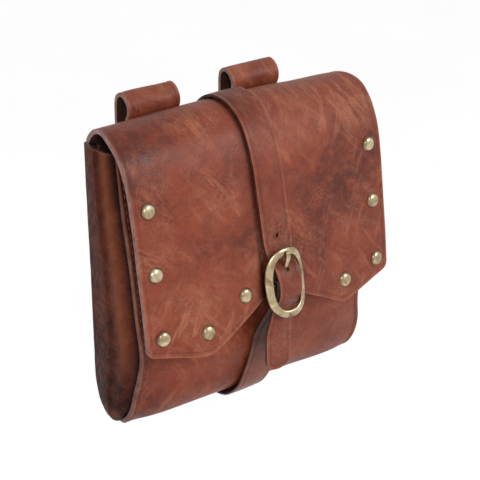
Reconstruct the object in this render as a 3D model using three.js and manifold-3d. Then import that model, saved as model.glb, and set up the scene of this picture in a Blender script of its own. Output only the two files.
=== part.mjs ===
// A leather belt pouch: a wedge-shaped body with side gussets, a wide flap with a W-shaped hem,
// a strap that runs round it to an oval buckle, domed rivets and two loops for a belt.
// Millimetres. +Z is up, the front faces -Y, and +X is to the right seen from the front.
// The origin is the middle of the belt, half way between the two loops.
import * as THREE from 'three';
import { mergeVertices } from 'three/addons/utils/BufferGeometryUtils.js';
import Module from 'manifold-3d';

const wasm = await Module();
wasm.setup();

// Clearance between pieces that are sewn or pressed together.
const gap = 0.3;

// Belt loops: closed bands round a slot for the belt.
const slotHeight = 53;
const slotDepth = 5.5;
const loopWidth = 32;
const loopThickness = 2.2;
const loopCentre = 33.5;
const loopBend = 1.6;
const loopCrestHeight = 16;

// Body: depth and height are outside measures, from the back panel's rear face and the panels' top edge.
const bodyWidth = 152;
const bodyDepth = 43;
const bodyHeight = 147.5;
const bodyWall = 2.4;
const bodyCrown = 7;

// Side gussets.
const gussetWall = 1.8;
const gussetInset = 2.5;
const gussetBulge = 4.5;
const gussetTopDrop = 0.5;
const gussetRidge = 0.62;
const gussetFanHeight = 24;

// Flap: drops are measured down from the ridge of its fold, the depth from the back panel's rear face.
const flapWidth = 164;
const flapDepth = 57;
const flapDrop = 116;
const flapWall = 2.4;
const flapCrown = 4;
const foldRise = 12;
const loopRise = 5.5;
const lapLength = 22;
const lapSideClearance = 2;
const hemCornerDrop = 105.5;
const hemNotchDrop = 89.5;
const hemLowX = 46;
const hemRound = 9;
const flapCorner = 3;

// Straps.
const strapWall = 1.8;
const strapGap = 0.5;
const upperStrapWidth = 18.5;
const lowerStrapWidth = 20;
const strapWaist = 14.6;
const strapTipWidth = 16;
const strapFreeLength = 47;
const strapTipRound = 6;
const upperStrapBackLength = 34;
const lowerStrapBackLength = 60;
const lowerStrapSlack = 2;
const foldPlyWall = 1.5;
const foldPlyWidth = 15;
const foldTailLength = 16;
const foldJoinDrop = 13;
const strapHoleRadius = 1.4;
const strapHoleSpacing = 25;

// Buckle: an oval ring round a middle bar, with a tongue.
const buckleDrop = 89.5;
const buckleWidth = 26.5;
const buckleHeight = 37;
const buckleBand = 4.6;
const buckleThickness = 2.2;
const buckleBow = 2.4;
const buckleSquareness = 2.6;
const buckleShift = 1.4;
const freeEndShift = -1.5;
const barRadius = 1.3;
const tongueWidth = 3;
const tongueRadius = 1;
const tongueRing = 1.3;
const tongueHoleLength = 7;

// Domed rivets.
const rivetRadius = 4;
const rivetRise = 2;
const rivetRim = 0.5;
const rivetEdge = 9;

// Places that follow from the sizes.
const backY = -(slotDepth / 2 + loopThickness + gap);
const ridgeZ = slotHeight / 2 + loopThickness - loopRise;
const bodyTopZ = ridgeZ - foldRise;
const halfBody = bodyWidth / 2;
const halfFlap = flapWidth / 2;
const gussetRimX = halfBody - gussetInset;
const gussetInnerX = gussetRimX - gussetWall;

// Side outline of the body, from the front panel's top edge down and round to the back panel.
// Columns: depth as a share of bodyDepth, drop as a share of bodyHeight, crown as a share of bodyCrown.
const bodyRows = [
  { depth: 0.624, drop: 0.0, crown: 0.25 },
  { depth: 0.75, drop: 0.215, crown: 0.5 },
  { depth: 0.843, drop: 0.358, crown: 0.75 },
  { depth: 0.936, drop: 0.556, crown: 1.0 },
  { depth: 1.0, drop: 0.693, crown: 1.0 },
  { depth: 0.945, drop: 0.768, crown: 1.0 },
  { depth: 0.856, drop: 0.843, crown: 1.0 },
  { depth: 0.752, drop: 0.928, crown: 0.85 },
  { depth: 0.599, drop: 0.982, crown: 0.6 },
  { depth: 0.401, drop: 1.0, crown: 0.35 },
  { depth: 0.203, drop: 0.983, crown: 0.2 },
  { depth: 0.076, drop: 0.939, crown: 0.1 },
  { depth: 0.013, drop: 0.877, crown: 0.0 },
  { depth: 0.0, drop: 0.802, crown: 0.0 },
];

// Side outline of the flap, from the fold's rear over the ridge and down the front.
// Columns: depth as a share of flapDepth, drop as a share of flapDrop, crown as a share of flapCrown.
const flapRows = [
  { depth: 0.057, drop: 0.103, crown: 0.0 },
  { depth: 0.106, drop: 0.056, crown: 0.0 },
  { depth: 0.224, drop: 0.013, crown: 0.0 },
  { depth: 0.39, drop: 0.0, crown: 0.0 },
  { depth: 0.548, drop: 0.026, crown: 0.0 },
  { depth: 0.671, drop: 0.086, crown: 0.05 },
  { depth: 0.752, drop: 0.168, crown: 0.1 },
  { depth: 0.801, drop: 0.25, crown: 0.17 },
  { depth: 0.834, drop: 0.34, crown: 0.24 },
  { depth: 0.89, drop: 0.534, crown: 0.45 },
  { depth: 0.952, drop: 0.75, crown: 0.72 },
  { depth: 0.987, drop: 0.897, crown: 0.9 },
  { depth: 1.0, drop: 1.0, crown: 1.0 },
];

// Rivets of one side. Columns: in from the flap's side edge as a share of halfFlap, drop as a share of flapDrop.
const rivetRows = [
  { across: 1 - rivetEdge / halfFlap, drop: 0.302 },
  { across: 1 - rivetEdge / halfFlap, drop: 0.569 },
  { across: 1 - rivetEdge / halfFlap, drop: 0.845 },
  { across: 0.573, drop: 0.884 },
  { across: 0.268, drop: 0.782 },
];

// Crest of a belt loop, from the front strip forward over the flap's fold and back to the rear strip.
// Columns: across from the front strip to the rear strip, rise as a share of loopCrestHeight.
const crestRows = [
  { across: 0.0, rise: 0.0 },
  { across: -0.03, rise: 0.13 },
  { across: -0.19, rise: 0.28 },
  { across: -0.36, rise: 0.48 },
  { across: -0.32, rise: 0.72 },
  { across: 0.08, rise: 0.95 },
  { across: 0.5, rise: 1.0 },
  { across: 0.88, rise: 0.87 },
  { across: 1.0, rise: 0.6 },
];

// The upper strap's run through the buckle. Columns: down from the bar as a share of the oval's half height,
// lift from its place behind the ring (0) to its place over the bar (1).
const throughRows = [
  { down: -1.0, lift: 0.0 },
  { down: -0.82, lift: 0.0 },
  { down: -0.67, lift: 0.06 },
  { down: -0.5, lift: 0.3 },
  { down: -0.33, lift: 0.63 },
  { down: -0.16, lift: 0.91 },
  { down: 0.0, lift: 1.0 },
  { down: 0.16, lift: 0.9 },
  { down: 0.32, lift: 0.62 },
  { down: 0.49, lift: 0.28 },
  { down: 0.66, lift: 0.04 },
  { down: 0.84, lift: -0.04 },
  { down: 1.2, lift: -0.05 },
];

// Points of a side outline are kept as { y, z, crown }.
const outlinePoint = (row, depth, height, topZ) => ({
  y: backY - row.depth * depth,
  z: topZ - row.drop * height,
  crown: row.crown,
});

// A smooth line through outline points, as evenly spaced points.
function smoothLine(points, steps) {
  const knots = points.map((p) => new THREE.Vector3(p.crown ?? 0, p.y, p.z));
  const curve = new THREE.CatmullRomCurve3(knots, false, 'centripetal');
  return curve.getSpacedPoints(steps).map((p) => ({ y: p.y, z: p.z, crown: p.x }));
}

// A straight run of points from one end to the other, without the first.
function straightRun(from, to, steps) {
  const run = [];
  for (let i = 1; i <= steps; i += 1) {
    const share = i / steps;
    run.push({
      y: from.y + (to.y - from.y) * share,
      z: from.z + (to.z - from.z) * share,
      crown: (from.crown ?? 0) * (1 - share) + (to.crown ?? 0) * share,
    });
  }
  return run;
}

// The outward normal at each point of a line that runs down the front, round the bottom and up the back.
function normalsOf(line) {
  return line.map((p, i) => {
    const before = line[Math.max(i - 1, 0)];
    const after = line[Math.min(i + 1, line.length - 1)];
    const dy = after.y - before.y;
    const dz = after.z - before.z;
    const length = Math.hypot(dy, dz);
    return { y: dz / length, z: -dy / length };
  });
}

// A line moved outward by a distance, which may differ from point to point.
function offsetLine(line, distance) {
  const normals = normalsOf(line);
  return line.map((p, i) => {
    const by = typeof distance === 'function' ? distance(p, i) : distance;
    return { y: p.y + normals[i].y * by, z: p.z + normals[i].z * by, crown: p.crown };
  });
}

// Running length along a line at each of its points.
function runningLength(line) {
  const lengths = [0];
  for (let i = 1; i < line.length; i += 1) {
    const step = Math.hypot(line[i].y - line[i - 1].y, line[i].z - line[i - 1].z);
    lengths.push(lengths[i - 1] + step);
  }
  return lengths;
}

// The point and outward normal at a running length along a line.
function placeAt(line, lengths, at) {
  let i = 1;
  while (i < line.length - 1 && lengths[i] < at) i += 1;
  const share = (at - lengths[i - 1]) / (lengths[i] - lengths[i - 1]);
  const a = line[i - 1];
  const b = line[i];
  const blend = (key) => a[key] + (b[key] - a[key]) * share;
  const reach = Math.hypot(b.y - a.y, b.z - a.z);
  return {
    y: blend('y'),
    z: blend('z'),
    crown: a.crown + (b.crown - a.crown) * share,
    normal: { y: (b.z - a.z) / reach, z: -(b.y - a.y) / reach },
  };
}

// The running length at which the part of a line past a given index comes down to a height.
function lengthAtHeight(line, lengths, height, start) {
  let i = start + 1;
  while (i < line.length - 1 && line[i].z > height) i += 1;
  const share = (line[i - 1].z - height) / (line[i - 1].z - line[i].z);
  return lengths[i - 1] + (lengths[i] - lengths[i - 1]) * share;
}

// Index of the highest point of a line.
const highest = (line) => line.reduce((best, p, i) => (p.z > line[best].z ? i : best), 0);

// A closed wall between an outer and an inner skin that share their triangles.
function wallBetween(outer, inner, triangles) {
  const count = outer.length;
  const index = [];
  const open = new Map();
  for (const [a, b, c] of triangles) {
    index.push(a, b, c, count + a, count + c, count + b);
    for (const [from, to] of [[a, b], [b, c], [c, a]]) {
      const twin = `${to} ${from}`;
      if (open.has(twin)) open.delete(twin);
      else open.set(`${from} ${to}`, [from, to]);
    }
  }
  for (const [from, to] of open.values()) {
    index.push(to, from, count + from, to, count + from, count + to);
  }
  const geometry = new THREE.BufferGeometry();
  geometry.setAttribute('position', new THREE.Float32BufferAttribute([...outer, ...inner].flat(), 3));
  geometry.setIndex(index);
  return geometry;
}

// Triangles of a grid whose rows run along a line and whose columns run towards +X.
function gridTriangles(rows, columns) {
  const triangles = [];
  for (let i = 0; i < rows - 1; i += 1) {
    for (let j = 0; j < columns - 1; j += 1) {
      const a = i * columns + j;
      const b = a + columns;
      triangles.push([a, b, a + 1], [b, b + 1, a + 1]);
    }
  }
  return triangles;
}

// A sheet from rows of { x, outer, inner } points.
function sheet(rows) {
  const outer = rows.flat().map((p) => [p.x, p.outer.y, p.outer.z]);
  const inner = rows.flat().map((p) => [p.x, p.inner.y, p.inner.z]);
  return wallBetween(outer, inner, gridTriangles(rows.length, rows[0].length));
}

// A strap along a middle line, with its width and side shift given at each point.
function strap(line, wall, widthAt, columns) {
  const normals = normalsOf(line);
  const lengths = runningLength(line);
  const rows = line.map((p, i) => {
    const { width, shift } = widthAt(lengths[i], lengths[lengths.length - 1]);
    const row = [];
    for (let j = 0; j <= columns; j += 1) {
      const n = normals[i];
      row.push({
        x: shift + width * (j / columns - 0.5),
        outer: { y: p.y + n.y * wall / 2, z: p.z + n.z * wall / 2 },
        inner: { y: p.y - n.y * wall / 2, z: p.z - n.z * wall / 2 },
      });
    }
    return row;
  });
  return sheet(rows);
}

// Booleans: a geometry as a solid, and a solid as a geometry.
function solidOf(geometry) {
  const bare = geometry.clone();
  bare.deleteAttribute('normal');
  bare.deleteAttribute('uv');
  const merged = mergeVertices(bare, 1e-4);
  const vertProperties = new Float32Array(merged.attributes.position.array);
  const triVerts = new Uint32Array(merged.index.array);
  return new wasm.Manifold(new wasm.Mesh({ numProp: 3, vertProperties, triVerts }));
}

function geometryOf(solid) {
  const mesh = solid.getMesh();
  const geometry = new THREE.BufferGeometry();
  geometry.setAttribute('position', new THREE.BufferAttribute(new Float32Array(mesh.vertProperties), 3));
  geometry.setIndex([...mesh.triVerts]);
  return geometry;
}

const ease = (share) => share * share * (3 - 2 * share);
const clampShare = (value) => Math.min(Math.max(value, 0), 1);

// Materials, with colours from the leather and the brass.
const finish = {
  panel: { color: 0x8c4f3e, roughness: 0.5, metalness: 0 },
  flap: { color: 0x93533f, roughness: 0.48, metalness: 0 },
  gusset: { color: 0x6f3a2c, roughness: 0.55, metalness: 0 },
  strap: { color: 0x955743, roughness: 0.48, metalness: 0 },
  loop: { color: 0x9a5a45, roughness: 0.52, metalness: 0 },
  brass: { color: 0xa99c6c, roughness: 0.35, metalness: 1 },
};

const pouch = new THREE.Group();
pouch.name = 'belt_pouch';

function piece(name, geometry, look) {
  const mesh = new THREE.Mesh(geometry, new THREE.MeshStandardMaterial(finish[look]));
  mesh.name = name;
  pouch.add(mesh);
  return mesh;
}

// The body's outline: a smooth front and bottom, then a flat back.
const bodyBackStart = outlinePoint(bodyRows[bodyRows.length - 1], bodyDepth, bodyHeight, bodyTopZ);
const bodyBackTop = { y: backY, z: bodyTopZ, crown: 0 };
const bodyLine = [
  ...smoothLine(bodyRows.map((row) => outlinePoint(row, bodyDepth, bodyHeight, bodyTopZ)), 34),
  ...straightRun(bodyBackStart, bodyBackTop, 3),
];
const bodyNormals = normalsOf(bodyLine);
const bodyBackStartRise = bodyBackStart.z - (bodyTopZ - bodyHeight);

// How far the body swells outward across its width; nothing where the gussets are sewn in.
function bodySwell(x, crown) {
  const share = Math.min(Math.abs(x) / gussetInnerX, 1);
  return bodyCrown * crown * (1 - share * share);
}

// Front, bottom and back in one sheet.
function makeBodyPanel() {
  const across = [0, 0.2, 0.4, 0.6, 0.8, 1];
  const half = across.map((share) => share * gussetInnerX).concat(halfBody);
  const columns = [...half.slice(1).reverse().map((x) => -x), ...half];
  const rows = bodyLine.map((p, i) => columns.map((x) => {
    const n = bodyNormals[i];
    const out = bodySwell(x, p.crown);
    return {
      x,
      outer: { y: p.y + n.y * out, z: p.z + n.z * out },
      inner: { y: p.y + n.y * (out - bodyWall), z: p.z + n.z * (out - bodyWall) },
    };
  }));
  piece('body_panel', sheet(rows), 'panel');
}

// The line inside the body that a gusset's edge is sewn along, with its clearance.
const rimLine = offsetLine(bodyLine, -(bodyWall + gap));
const rimLowest = rimLine.reduce((best, p, i) => (p.z < rimLine[best].z ? i : best), 0);

// Depth of the rim line at a height, on its front or its back run.
function rimY(z, run) {
  for (let i = 1; i < run.length; i += 1) {
    const [a, b] = [run[i - 1], run[i]];
    if ((a.z - z) * (b.z - z) <= 0 && a.z !== b.z) {
      return a.y + (b.y - a.y) * (z - a.z) / (b.z - a.z);
    }
  }
  return run[0].y;
}

// A side gusset: rows from its top edge down to the ridge's foot, then a fan round the bottom.
function makeGusset(name, side) {
  const topZ = bodyTopZ - gussetTopDrop;
  const footZ = rimLine[rimLowest].z + gussetFanHeight;
  const front = rimLine.slice(0, rimLowest + 1);
  const back = rimLine.slice(rimLowest);
  const rowCount = 9;
  const steps = 4;
  const surface = [];
  const ridgeAt = (z) => rimY(z, back) + (rimY(z, front) - rimY(z, back)) * gussetRidge;
  const outX = (share) => side * (gussetRimX + gussetBulge * Math.sin(clampShare(share) * Math.PI / 2));
  for (let i = 0; i <= rowCount; i += 1) {
    const z = topZ + (footZ - topZ) * i / rowCount;
    const [yFront, yBack, yRidge] = [rimY(z, front), rimY(z, back), ridgeAt(z)];
    for (let j = -steps; j <= steps; j += 1) {
      const share = 1 - Math.abs(j) / steps;
      const edge = j < 0 ? yFront : yBack;
      surface.push([outX(share), edge + (yRidge - edge) * share, z]);
    }
  }
  const columns = 2 * steps + 1;
  const triangles = gridTriangles(rowCount + 1, columns);
  const last = rowCount * columns;
  const foot = last + steps;
  const footPoint = surface[foot];
  // Rings round the foot join the last row's two halves below the ridge.
  const bottomRim = rimLine.filter((p) => p.z < footZ - 1);
  const rings = [];
  for (let k = 0; k < steps; k += 1) {
    const share = k / steps;
    const ring = [last + k];
    for (const p of bottomRim) {
      ring.push(surface.length);
      surface.push([
        outX(share),
        p.y + (footPoint[1] - p.y) * share,
        p.z + (footPoint[2] - p.z) * share,
      ]);
    }
    ring.push(last + columns - 1 - k);
    rings.push(ring);
  }
  for (let k = 0; k < steps; k += 1) {
    const outerRing = rings[k];
    for (let i = 0; i < outerRing.length - 1; i += 1) {
      if (k === steps - 1) {
        triangles.push([outerRing[i], outerRing[i + 1], foot]);
      } else {
        const innerRing = rings[k + 1];
        triangles.push([outerRing[i], outerRing[i + 1], innerRing[i]]);
        triangles.push([outerRing[i + 1], innerRing[i + 1], innerRing[i]]);
      }
    }
  }
  // The columns run from front to back, which faces the skin to +X.
  const inner = surface.map(([x, y, z]) => [x - side * gussetWall, y, z]);
  const facing = side > 0 ? triangles : triangles.map(([a, b, c]) => [a, c, b]);
  piece(name, wallBetween(surface, inner, facing), 'gusset');
}

// The flap's outline: a flat lap inside the back panel, then the fold and the front.
const lapY = backY - bodyWall - gap;
const flapCurvePoints = flapRows.map((row) => outlinePoint(row, flapDepth, flapDrop, ridgeZ));
const lapTop = { y: lapY, z: bodyTopZ - 4, crown: 0 };
const lapBottom = { y: lapY, z: lapTop.z - lapLength, crown: 0 };
const flapLine = [
  lapBottom,
  lapTop,
  ...smoothLine([lapTop, ...flapCurvePoints], 44).slice(1),
];
const flapLengths = runningLength(flapLine);
const flapTotal = flapLengths[flapLengths.length - 1];
const flapRidge = highest(flapLine);

// Half width of the flap: narrow between the gussets, full past the shoulder of the fold.
const shoulderStart = flapLengths[1] + 9;
const shoulderEnd = flapLengths[flapRidge] - 4;
function flapHalfWidth(length) {
  const share = ease(clampShare((length - shoulderStart) / (shoulderEnd - shoulderStart)));
  const lapHalf = gussetInnerX - lapSideClearance;
  return lapHalf + (halfFlap - lapHalf) * share;
}

// Height of the hem at a distance from the middle: two slopes that meet in a rounded low point.
function hemZ(x) {
  const out = Math.abs(x);
  const innerSlope = (flapDrop - hemNotchDrop) / hemLowX;
  const outerSlope = (flapDrop - hemCornerDrop) / (halfFlap - hemLowX);
  const inside = flapDrop - (hemLowX - out) * innerSlope;
  const outside = flapDrop - (out - hemLowX) * outerSlope;
  const spread = hemRound * (innerSlope + outerSlope) / 4;
  const drop = (inside + outside - Math.sqrt((inside - outside) ** 2 + 4 * spread ** 2)) / 2;
  const past = Math.max(out - (halfFlap - flapCorner), 0);
  const corner = flapCorner - Math.sqrt(Math.max(flapCorner ** 2 - past ** 2, 0));
  return ridgeZ - Math.min(drop, flapDrop) + corner;
}

// A point of the flap's outer face, its normal, and how far down the line it lies.
function flapPlace(x, length) {
  const place = placeAt(flapLine, flapLengths, length);
  const swell = flapCrown * place.crown * (1 - (x / halfFlap) ** 2);
  return {
    y: place.y + place.normal.y * swell,
    z: place.z + place.normal.z * swell,
    normal: place.normal,
  };
}

// Running length along the flap where its outer face reaches a height.
const flapLengthAt = (z) => lengthAtHeight(flapLine, flapLengths, z, flapRidge);

function makeFlap() {
  const frontStart = flapLengthAt(ridgeZ - flapDrop * 0.25);
  const beforeFront = 16;
  const onFront = 10;
  const half = [0, 0.15, 0.3, 0.42, 0.5, 0.56, 0.61, 0.68, 0.78, 0.88];
  const cornerShares = [0, 0.35, 0.65, 0.87, 1].map((s) => 1 - (1 - s) * flapCorner / halfFlap);
  const shares = [...half, ...cornerShares];
  const columns = [...shares.slice(1).reverse().map((s) => -s), ...shares];
  const lengths = [flapLengths[0], flapLengths[1]];
  for (let i = 1; i <= beforeFront; i += 1) {
    lengths.push(flapLengths[1] + (frontStart - flapLengths[1]) * i / beforeFront);
  }
  const rowAt = (lengthOf) => columns.map((share) => {
    const length = lengthOf(share);
    const x = share * flapHalfWidth(length);
    const place = flapPlace(x, length);
    const { normal } = place;
    return {
      x,
      outer: { y: place.y, z: place.z },
      inner: { y: place.y - normal.y * flapWall, z: place.z - normal.z * flapWall },
    };
  });
  const rows = lengths.map((length) => rowAt(() => length));
  for (let i = 1; i <= onFront; i += 1) {
    rows.push(rowAt((share) => {
      const end = Math.min(flapLengthAt(hemZ(share * halfFlap)), flapTotal);
      return frontStart + (end - frontStart) * i / onFront;
    }));
  }
  piece('flap', sheet(rows), 'flap');
}

// A closed flat band for the belt: two upright strips, a crest over the belt and a tight bend below it.
function makeLoop(name, centreX) {
  const stripY = (slotDepth + loopThickness) / 2;
  const endZ = (slotHeight + loopThickness) / 2;
  const bend = loopBend + loopThickness / 2;
  const crest = smoothLine(crestRows.map((row) => ({
    y: stripY * (2 * row.across - 1),
    z: endZ - loopCrestHeight * (1 - row.rise),
  })), 16);
  const bendSteps = 4;
  const bottomBend = (centreY, from) => {
    const arc = [];
    for (let i = 0; i <= bendSteps; i += 1) {
      const angle = from - Math.PI / 2 * i / bendSteps;
      arc.push({ y: centreY + bend * Math.cos(angle), z: bend - endZ + bend * Math.sin(angle) });
    }
    return arc;
  };
  const line = [
    ...crest,
    ...bottomBend(stripY - bend, 0),
    ...bottomBend(bend - stripY, -Math.PI / 2),
  ].reverse();
  const wrapped = [line.at(-1), ...line, line[0]];
  const normals = normalsOf(wrapped).slice(1, -1);
  const skin = (side) => line.flatMap((p, i) => [-0.5, 0.5].map((across) => [
    centreX + across * loopWidth,
    p.y + normals[i].y * side * loopThickness / 2,
    p.z + normals[i].z * side * loopThickness / 2,
  ]));
  const count = line.length;
  const triangles = [];
  for (let i = 0; i < count; i += 1) {
    const a = 2 * i;
    const b = 2 * ((i + 1) % count);
    triangles.push([a, b, a + 1], [b, b + 1, a + 1]);
  }
  piece(name, wallBetween(skin(1), skin(-1), triangles), 'loop');
}

// Where the buckle sits: its bar stands off the middle of the flap, level with its surface.
const frameHalf = (buckleHeight - buckleBand) / 2;
const barLength = flapLengthAt(ridgeZ - buckleDrop);
const barSeat = flapPlace(0, barLength);
const slopeAbove = flapPlace(0, barLength - frameHalf);
const slopeReach = Math.hypot(barSeat.y - slopeAbove.y, barSeat.z - slopeAbove.z);
const down = {
  y: (barSeat.y - slopeAbove.y) / slopeReach,
  z: (barSeat.z - slopeAbove.z) / slopeReach,
};
const out = { y: down.z, z: -down.y };
const buckleStand = buckleThickness / 2 + strapWall + strapGap + 3 * gap;
const bar = { y: barSeat.y + out.y * buckleStand, z: barSeat.z + out.z * buckleStand };
const fromBar = (outward, downward) => ({
  y: bar.y + out.y * outward + down.y * downward,
  z: bar.z + out.z * outward + down.z * downward,
});

// Distances outward from the bar's axis: the folded ply, and the free strap over it or behind the ring.
const onFlap = strapGap + strapWall / 2;
const foldRadius = barRadius + gap + foldPlyWall / 2;
const plySpacing = (foldPlyWall + strapWall) / 2 + gap;
const strapOverBar = foldRadius + plySpacing;
const strapBehindRing = onFlap - buckleStand;

// The upper strap's middle line: up the back, over the fold, down the flap and through the buckle.
function upperStrapLine() {
  const backStart = { y: backY + onFlap, z: bodyTopZ - upperStrapBackLength };
  const backEnd = { y: backY + onFlap, z: bodyTopZ - 1 };
  const pastEdge = { y: backY + onFlap, z: bodyTopZ + 1 };
  const ridgeLength = flapLengths[flapRidge];
  const leaveLength = barLength - frameHalf - buckleBand / 2;
  const over = [];
  const overSteps = 22;
  for (let i = 0; i <= overSteps; i += 1) {
    const length = ridgeLength + (leaveLength - ridgeLength) * i / overSteps;
    const place = flapPlace(0, length);
    over.push({ y: place.y + place.normal.y * onFlap, z: place.z + place.normal.z * onFlap });
  }
  const shoulder = {
    y: over[0].y + (pastEdge.y - over[0].y) * 0.7,
    z: pastEdge.z + (over[0].z - pastEdge.z) * 0.68,
  };
  const climb = [
    backStart,
    ...straightRun(backStart, backEnd, 3),
    ...smoothLine([backEnd, pastEdge, shoulder, over[0], over[1]], 10).slice(1, -1),
  ];
  const throughBuckle = throughRows.map(({ down: below, lift }) => fromBar(
    strapBehindRing + (strapOverBar - strapBehindRing) * lift,
    frameHalf * below,
  ));
  const under = throughBuckle.at(-1);
  const tip = { y: under.y, z: bar.z - strapFreeLength };
  const hanging = { y: under.y, z: (under.z + tip.z) / 2 };
  const rest = smoothLine([over.at(-1), ...throughBuckle, hanging, tip], 48);
  return [...climb, ...over.slice(1, -1), ...rest];
}

const upperLine = upperStrapLine();

// Side shift of both straps at a distance down the pouch from the bar; negative is above it.
function strapShift(below) {
  const towards = ease(clampShare(1 + below / (buckleDrop - frameHalf)));
  const away = ease(clampShare((below - frameHalf * 0.4) / frameHalf));
  return buckleShift * towards + (freeEndShift - buckleShift) * away;
}

function makeUpperStrap() {
  const line = upperLine;
  const lengths = runningLength(line);
  const total = lengths.at(-1);
  const barAt = lengths[line.reduce((best, p, i) => (p.y < line[best].y ? i : best), 0)];
  const narrowFrom = barAt - frameHalf * 1.7;
  const narrowTo = barAt - frameHalf * 0.9;
  const widthAt = (length) => {
    const narrowing = ease(clampShare((length - narrowFrom) / (narrowTo - narrowFrom)));
    const widening = ease(clampShare((length - barAt - frameHalf * 0.7) / frameHalf));
    let width = upperStrapWidth + (strapWaist - upperStrapWidth) * narrowing;
    width += (strapTipWidth - strapWaist) * widening;
    const past = Math.max(length - (total - strapTipRound), 0);
    width -= 2 * (strapTipRound - Math.sqrt(Math.max(strapTipRound ** 2 - past ** 2, 0)));
    return { width, shift: strapShift(length - barAt) };
  };
  let solid = solidOf(strap(line, strapWall, widthAt, 2));
  // Punched holes up the flap, and the one that the tongue is through.
  const holeLengths = [1, 2].map((step) => barAt - frameHalf * 0.3 - step * strapHoleSpacing);
  for (const length of holeLengths) {
    const place = placeAt(line, lengths, length);
    const punch = new THREE.CylinderGeometry(strapHoleRadius, strapHoleRadius, strapWall * 3, 8);
    const axis = new THREE.Vector3(0, place.normal.y, place.normal.z);
    punch.applyQuaternion(new THREE.Quaternion().setFromUnitVectors(new THREE.Vector3(0, 1, 0), axis));
    punch.translate(strapShift(length - barAt), place.y, place.z);
    solid = solid.subtract(solidOf(punch));
  }
  const tongueHole = new THREE.BoxGeometry(tongueWidth + 4 * gap, strapOverBar * 4, tongueHoleLength);
  placeByBar(tongueHole, 0, -tongueHoleLength);
  solid = solid.subtract(solidOf(tongueHole));
  piece('strap_upper', geometryOf(solid), 'strap');
}

// Turns a geometry made with Y inward and Z up into the buckle's plane, at a place from the bar.
function placeByBar(geometry, outward, downward) {
  const at = fromBar(outward, downward);
  geometry.applyMatrix4(new THREE.Matrix4().makeBasis(
    new THREE.Vector3(1, 0, 0),
    new THREE.Vector3(0, -out.y, -out.z),
    new THREE.Vector3(0, -down.y, -down.z),
  ));
  geometry.translate(buckleShift, at.y, at.z);
}

// The body's outline along its middle, and a line for the lower strap that stands off it.
const middleLine = bodyLine.map((p, i) => ({
  y: p.y + bodyNormals[i].y * bodySwell(0, p.crown),
  z: p.z + bodyNormals[i].z * bodySwell(0, p.crown),
  crown: p.crown,
}));
const slackShare = (crown) => Math.min(crown * 1.2, 0.75);
const standingLine = offsetLine(
  middleLine,
  (p) => gap + foldPlyWall / 2 + lowerStrapSlack * slackShare(p.crown),
);

// The lower strap's middle line: the tail, the fold round the bar, the front run, the underside and the back.
function lowerStrapLine() {
  const standingLengths = runningLength(standingLine);
  const joinZ = bar.z - frameHalf - foldJoinDrop;
  const start = lengthAtHeight(standingLine, standingLengths, joinZ, 0);
  const end = standingLengths.at(-1) - (bodyHeight - lowerStrapBackLength - bodyBackStartRise);
  const round = [];
  const roundSteps = 26;
  for (let i = 0; i <= roundSteps; i += 1) {
    round.push(placeAt(standingLine, standingLengths, start + (end - start) * i / roundSteps));
  }
  // Close behind the upper strap from the bar to the oval's lower end, then out to the body.
  const barIndex = upperLine.reduce((best, p, i) => (p.y < upperLine[best].y ? i : best), 0);
  const behind = offsetLine(upperLine.slice(barIndex), -plySpacing)
    .filter((p, i) => i % 2 === 0 && p.z > bar.z - frameHalf * 0.8);
  const frontRun = smoothLine([fromBar(foldRadius, 0), ...behind.slice(1), round[0], round[1]], 22);
  const fold = [];
  const foldSteps = 8;
  for (let i = 0; i <= foldSteps; i += 1) {
    const angle = Math.PI * i / foldSteps;
    fold.push(fromBar(-foldRadius * Math.cos(angle), -foldRadius * Math.sin(angle)));
  }
  // The tail lies behind the front run and closes up to it below the bar.
  const runLengths = runningLength(frontRun);
  const tail = offsetLine(frontRun, (p, i) => {
    const closing = ease(clampShare(runLengths[i] / (foldTailLength * 0.6)));
    return -(2 * foldRadius + (foldPlyWall + gap - 2 * foldRadius) * closing);
  }).filter((p, i) => i > 2 && runLengths[i] <= foldTailLength).reverse();
  return [...tail, ...fold, ...frontRun.slice(1, -1), ...round.slice(1)];
}

function makeLowerStrap() {
  const line = lowerStrapLine();
  const barAt = foldTailLength + foldRadius;
  const widthAt = (length) => {
    const share = ease(clampShare((length - barAt - frameHalf) / frameHalf));
    const width = foldPlyWidth + (lowerStrapWidth - foldPlyWidth) * share;
    return { width, shift: buckleShift * (1 - share) };
  };
  const slot = new THREE.BoxGeometry(tongueWidth + 4 * gap, foldRadius * 4, foldRadius * 3.4);
  placeByBar(slot, 0, -foldRadius * 0.2);
  const solid = solidOf(strap(line, foldPlyWall, widthAt, 2)).subtract(solidOf(slot));
  piece('strap_lower', geometryOf(solid), 'strap');
}

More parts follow.
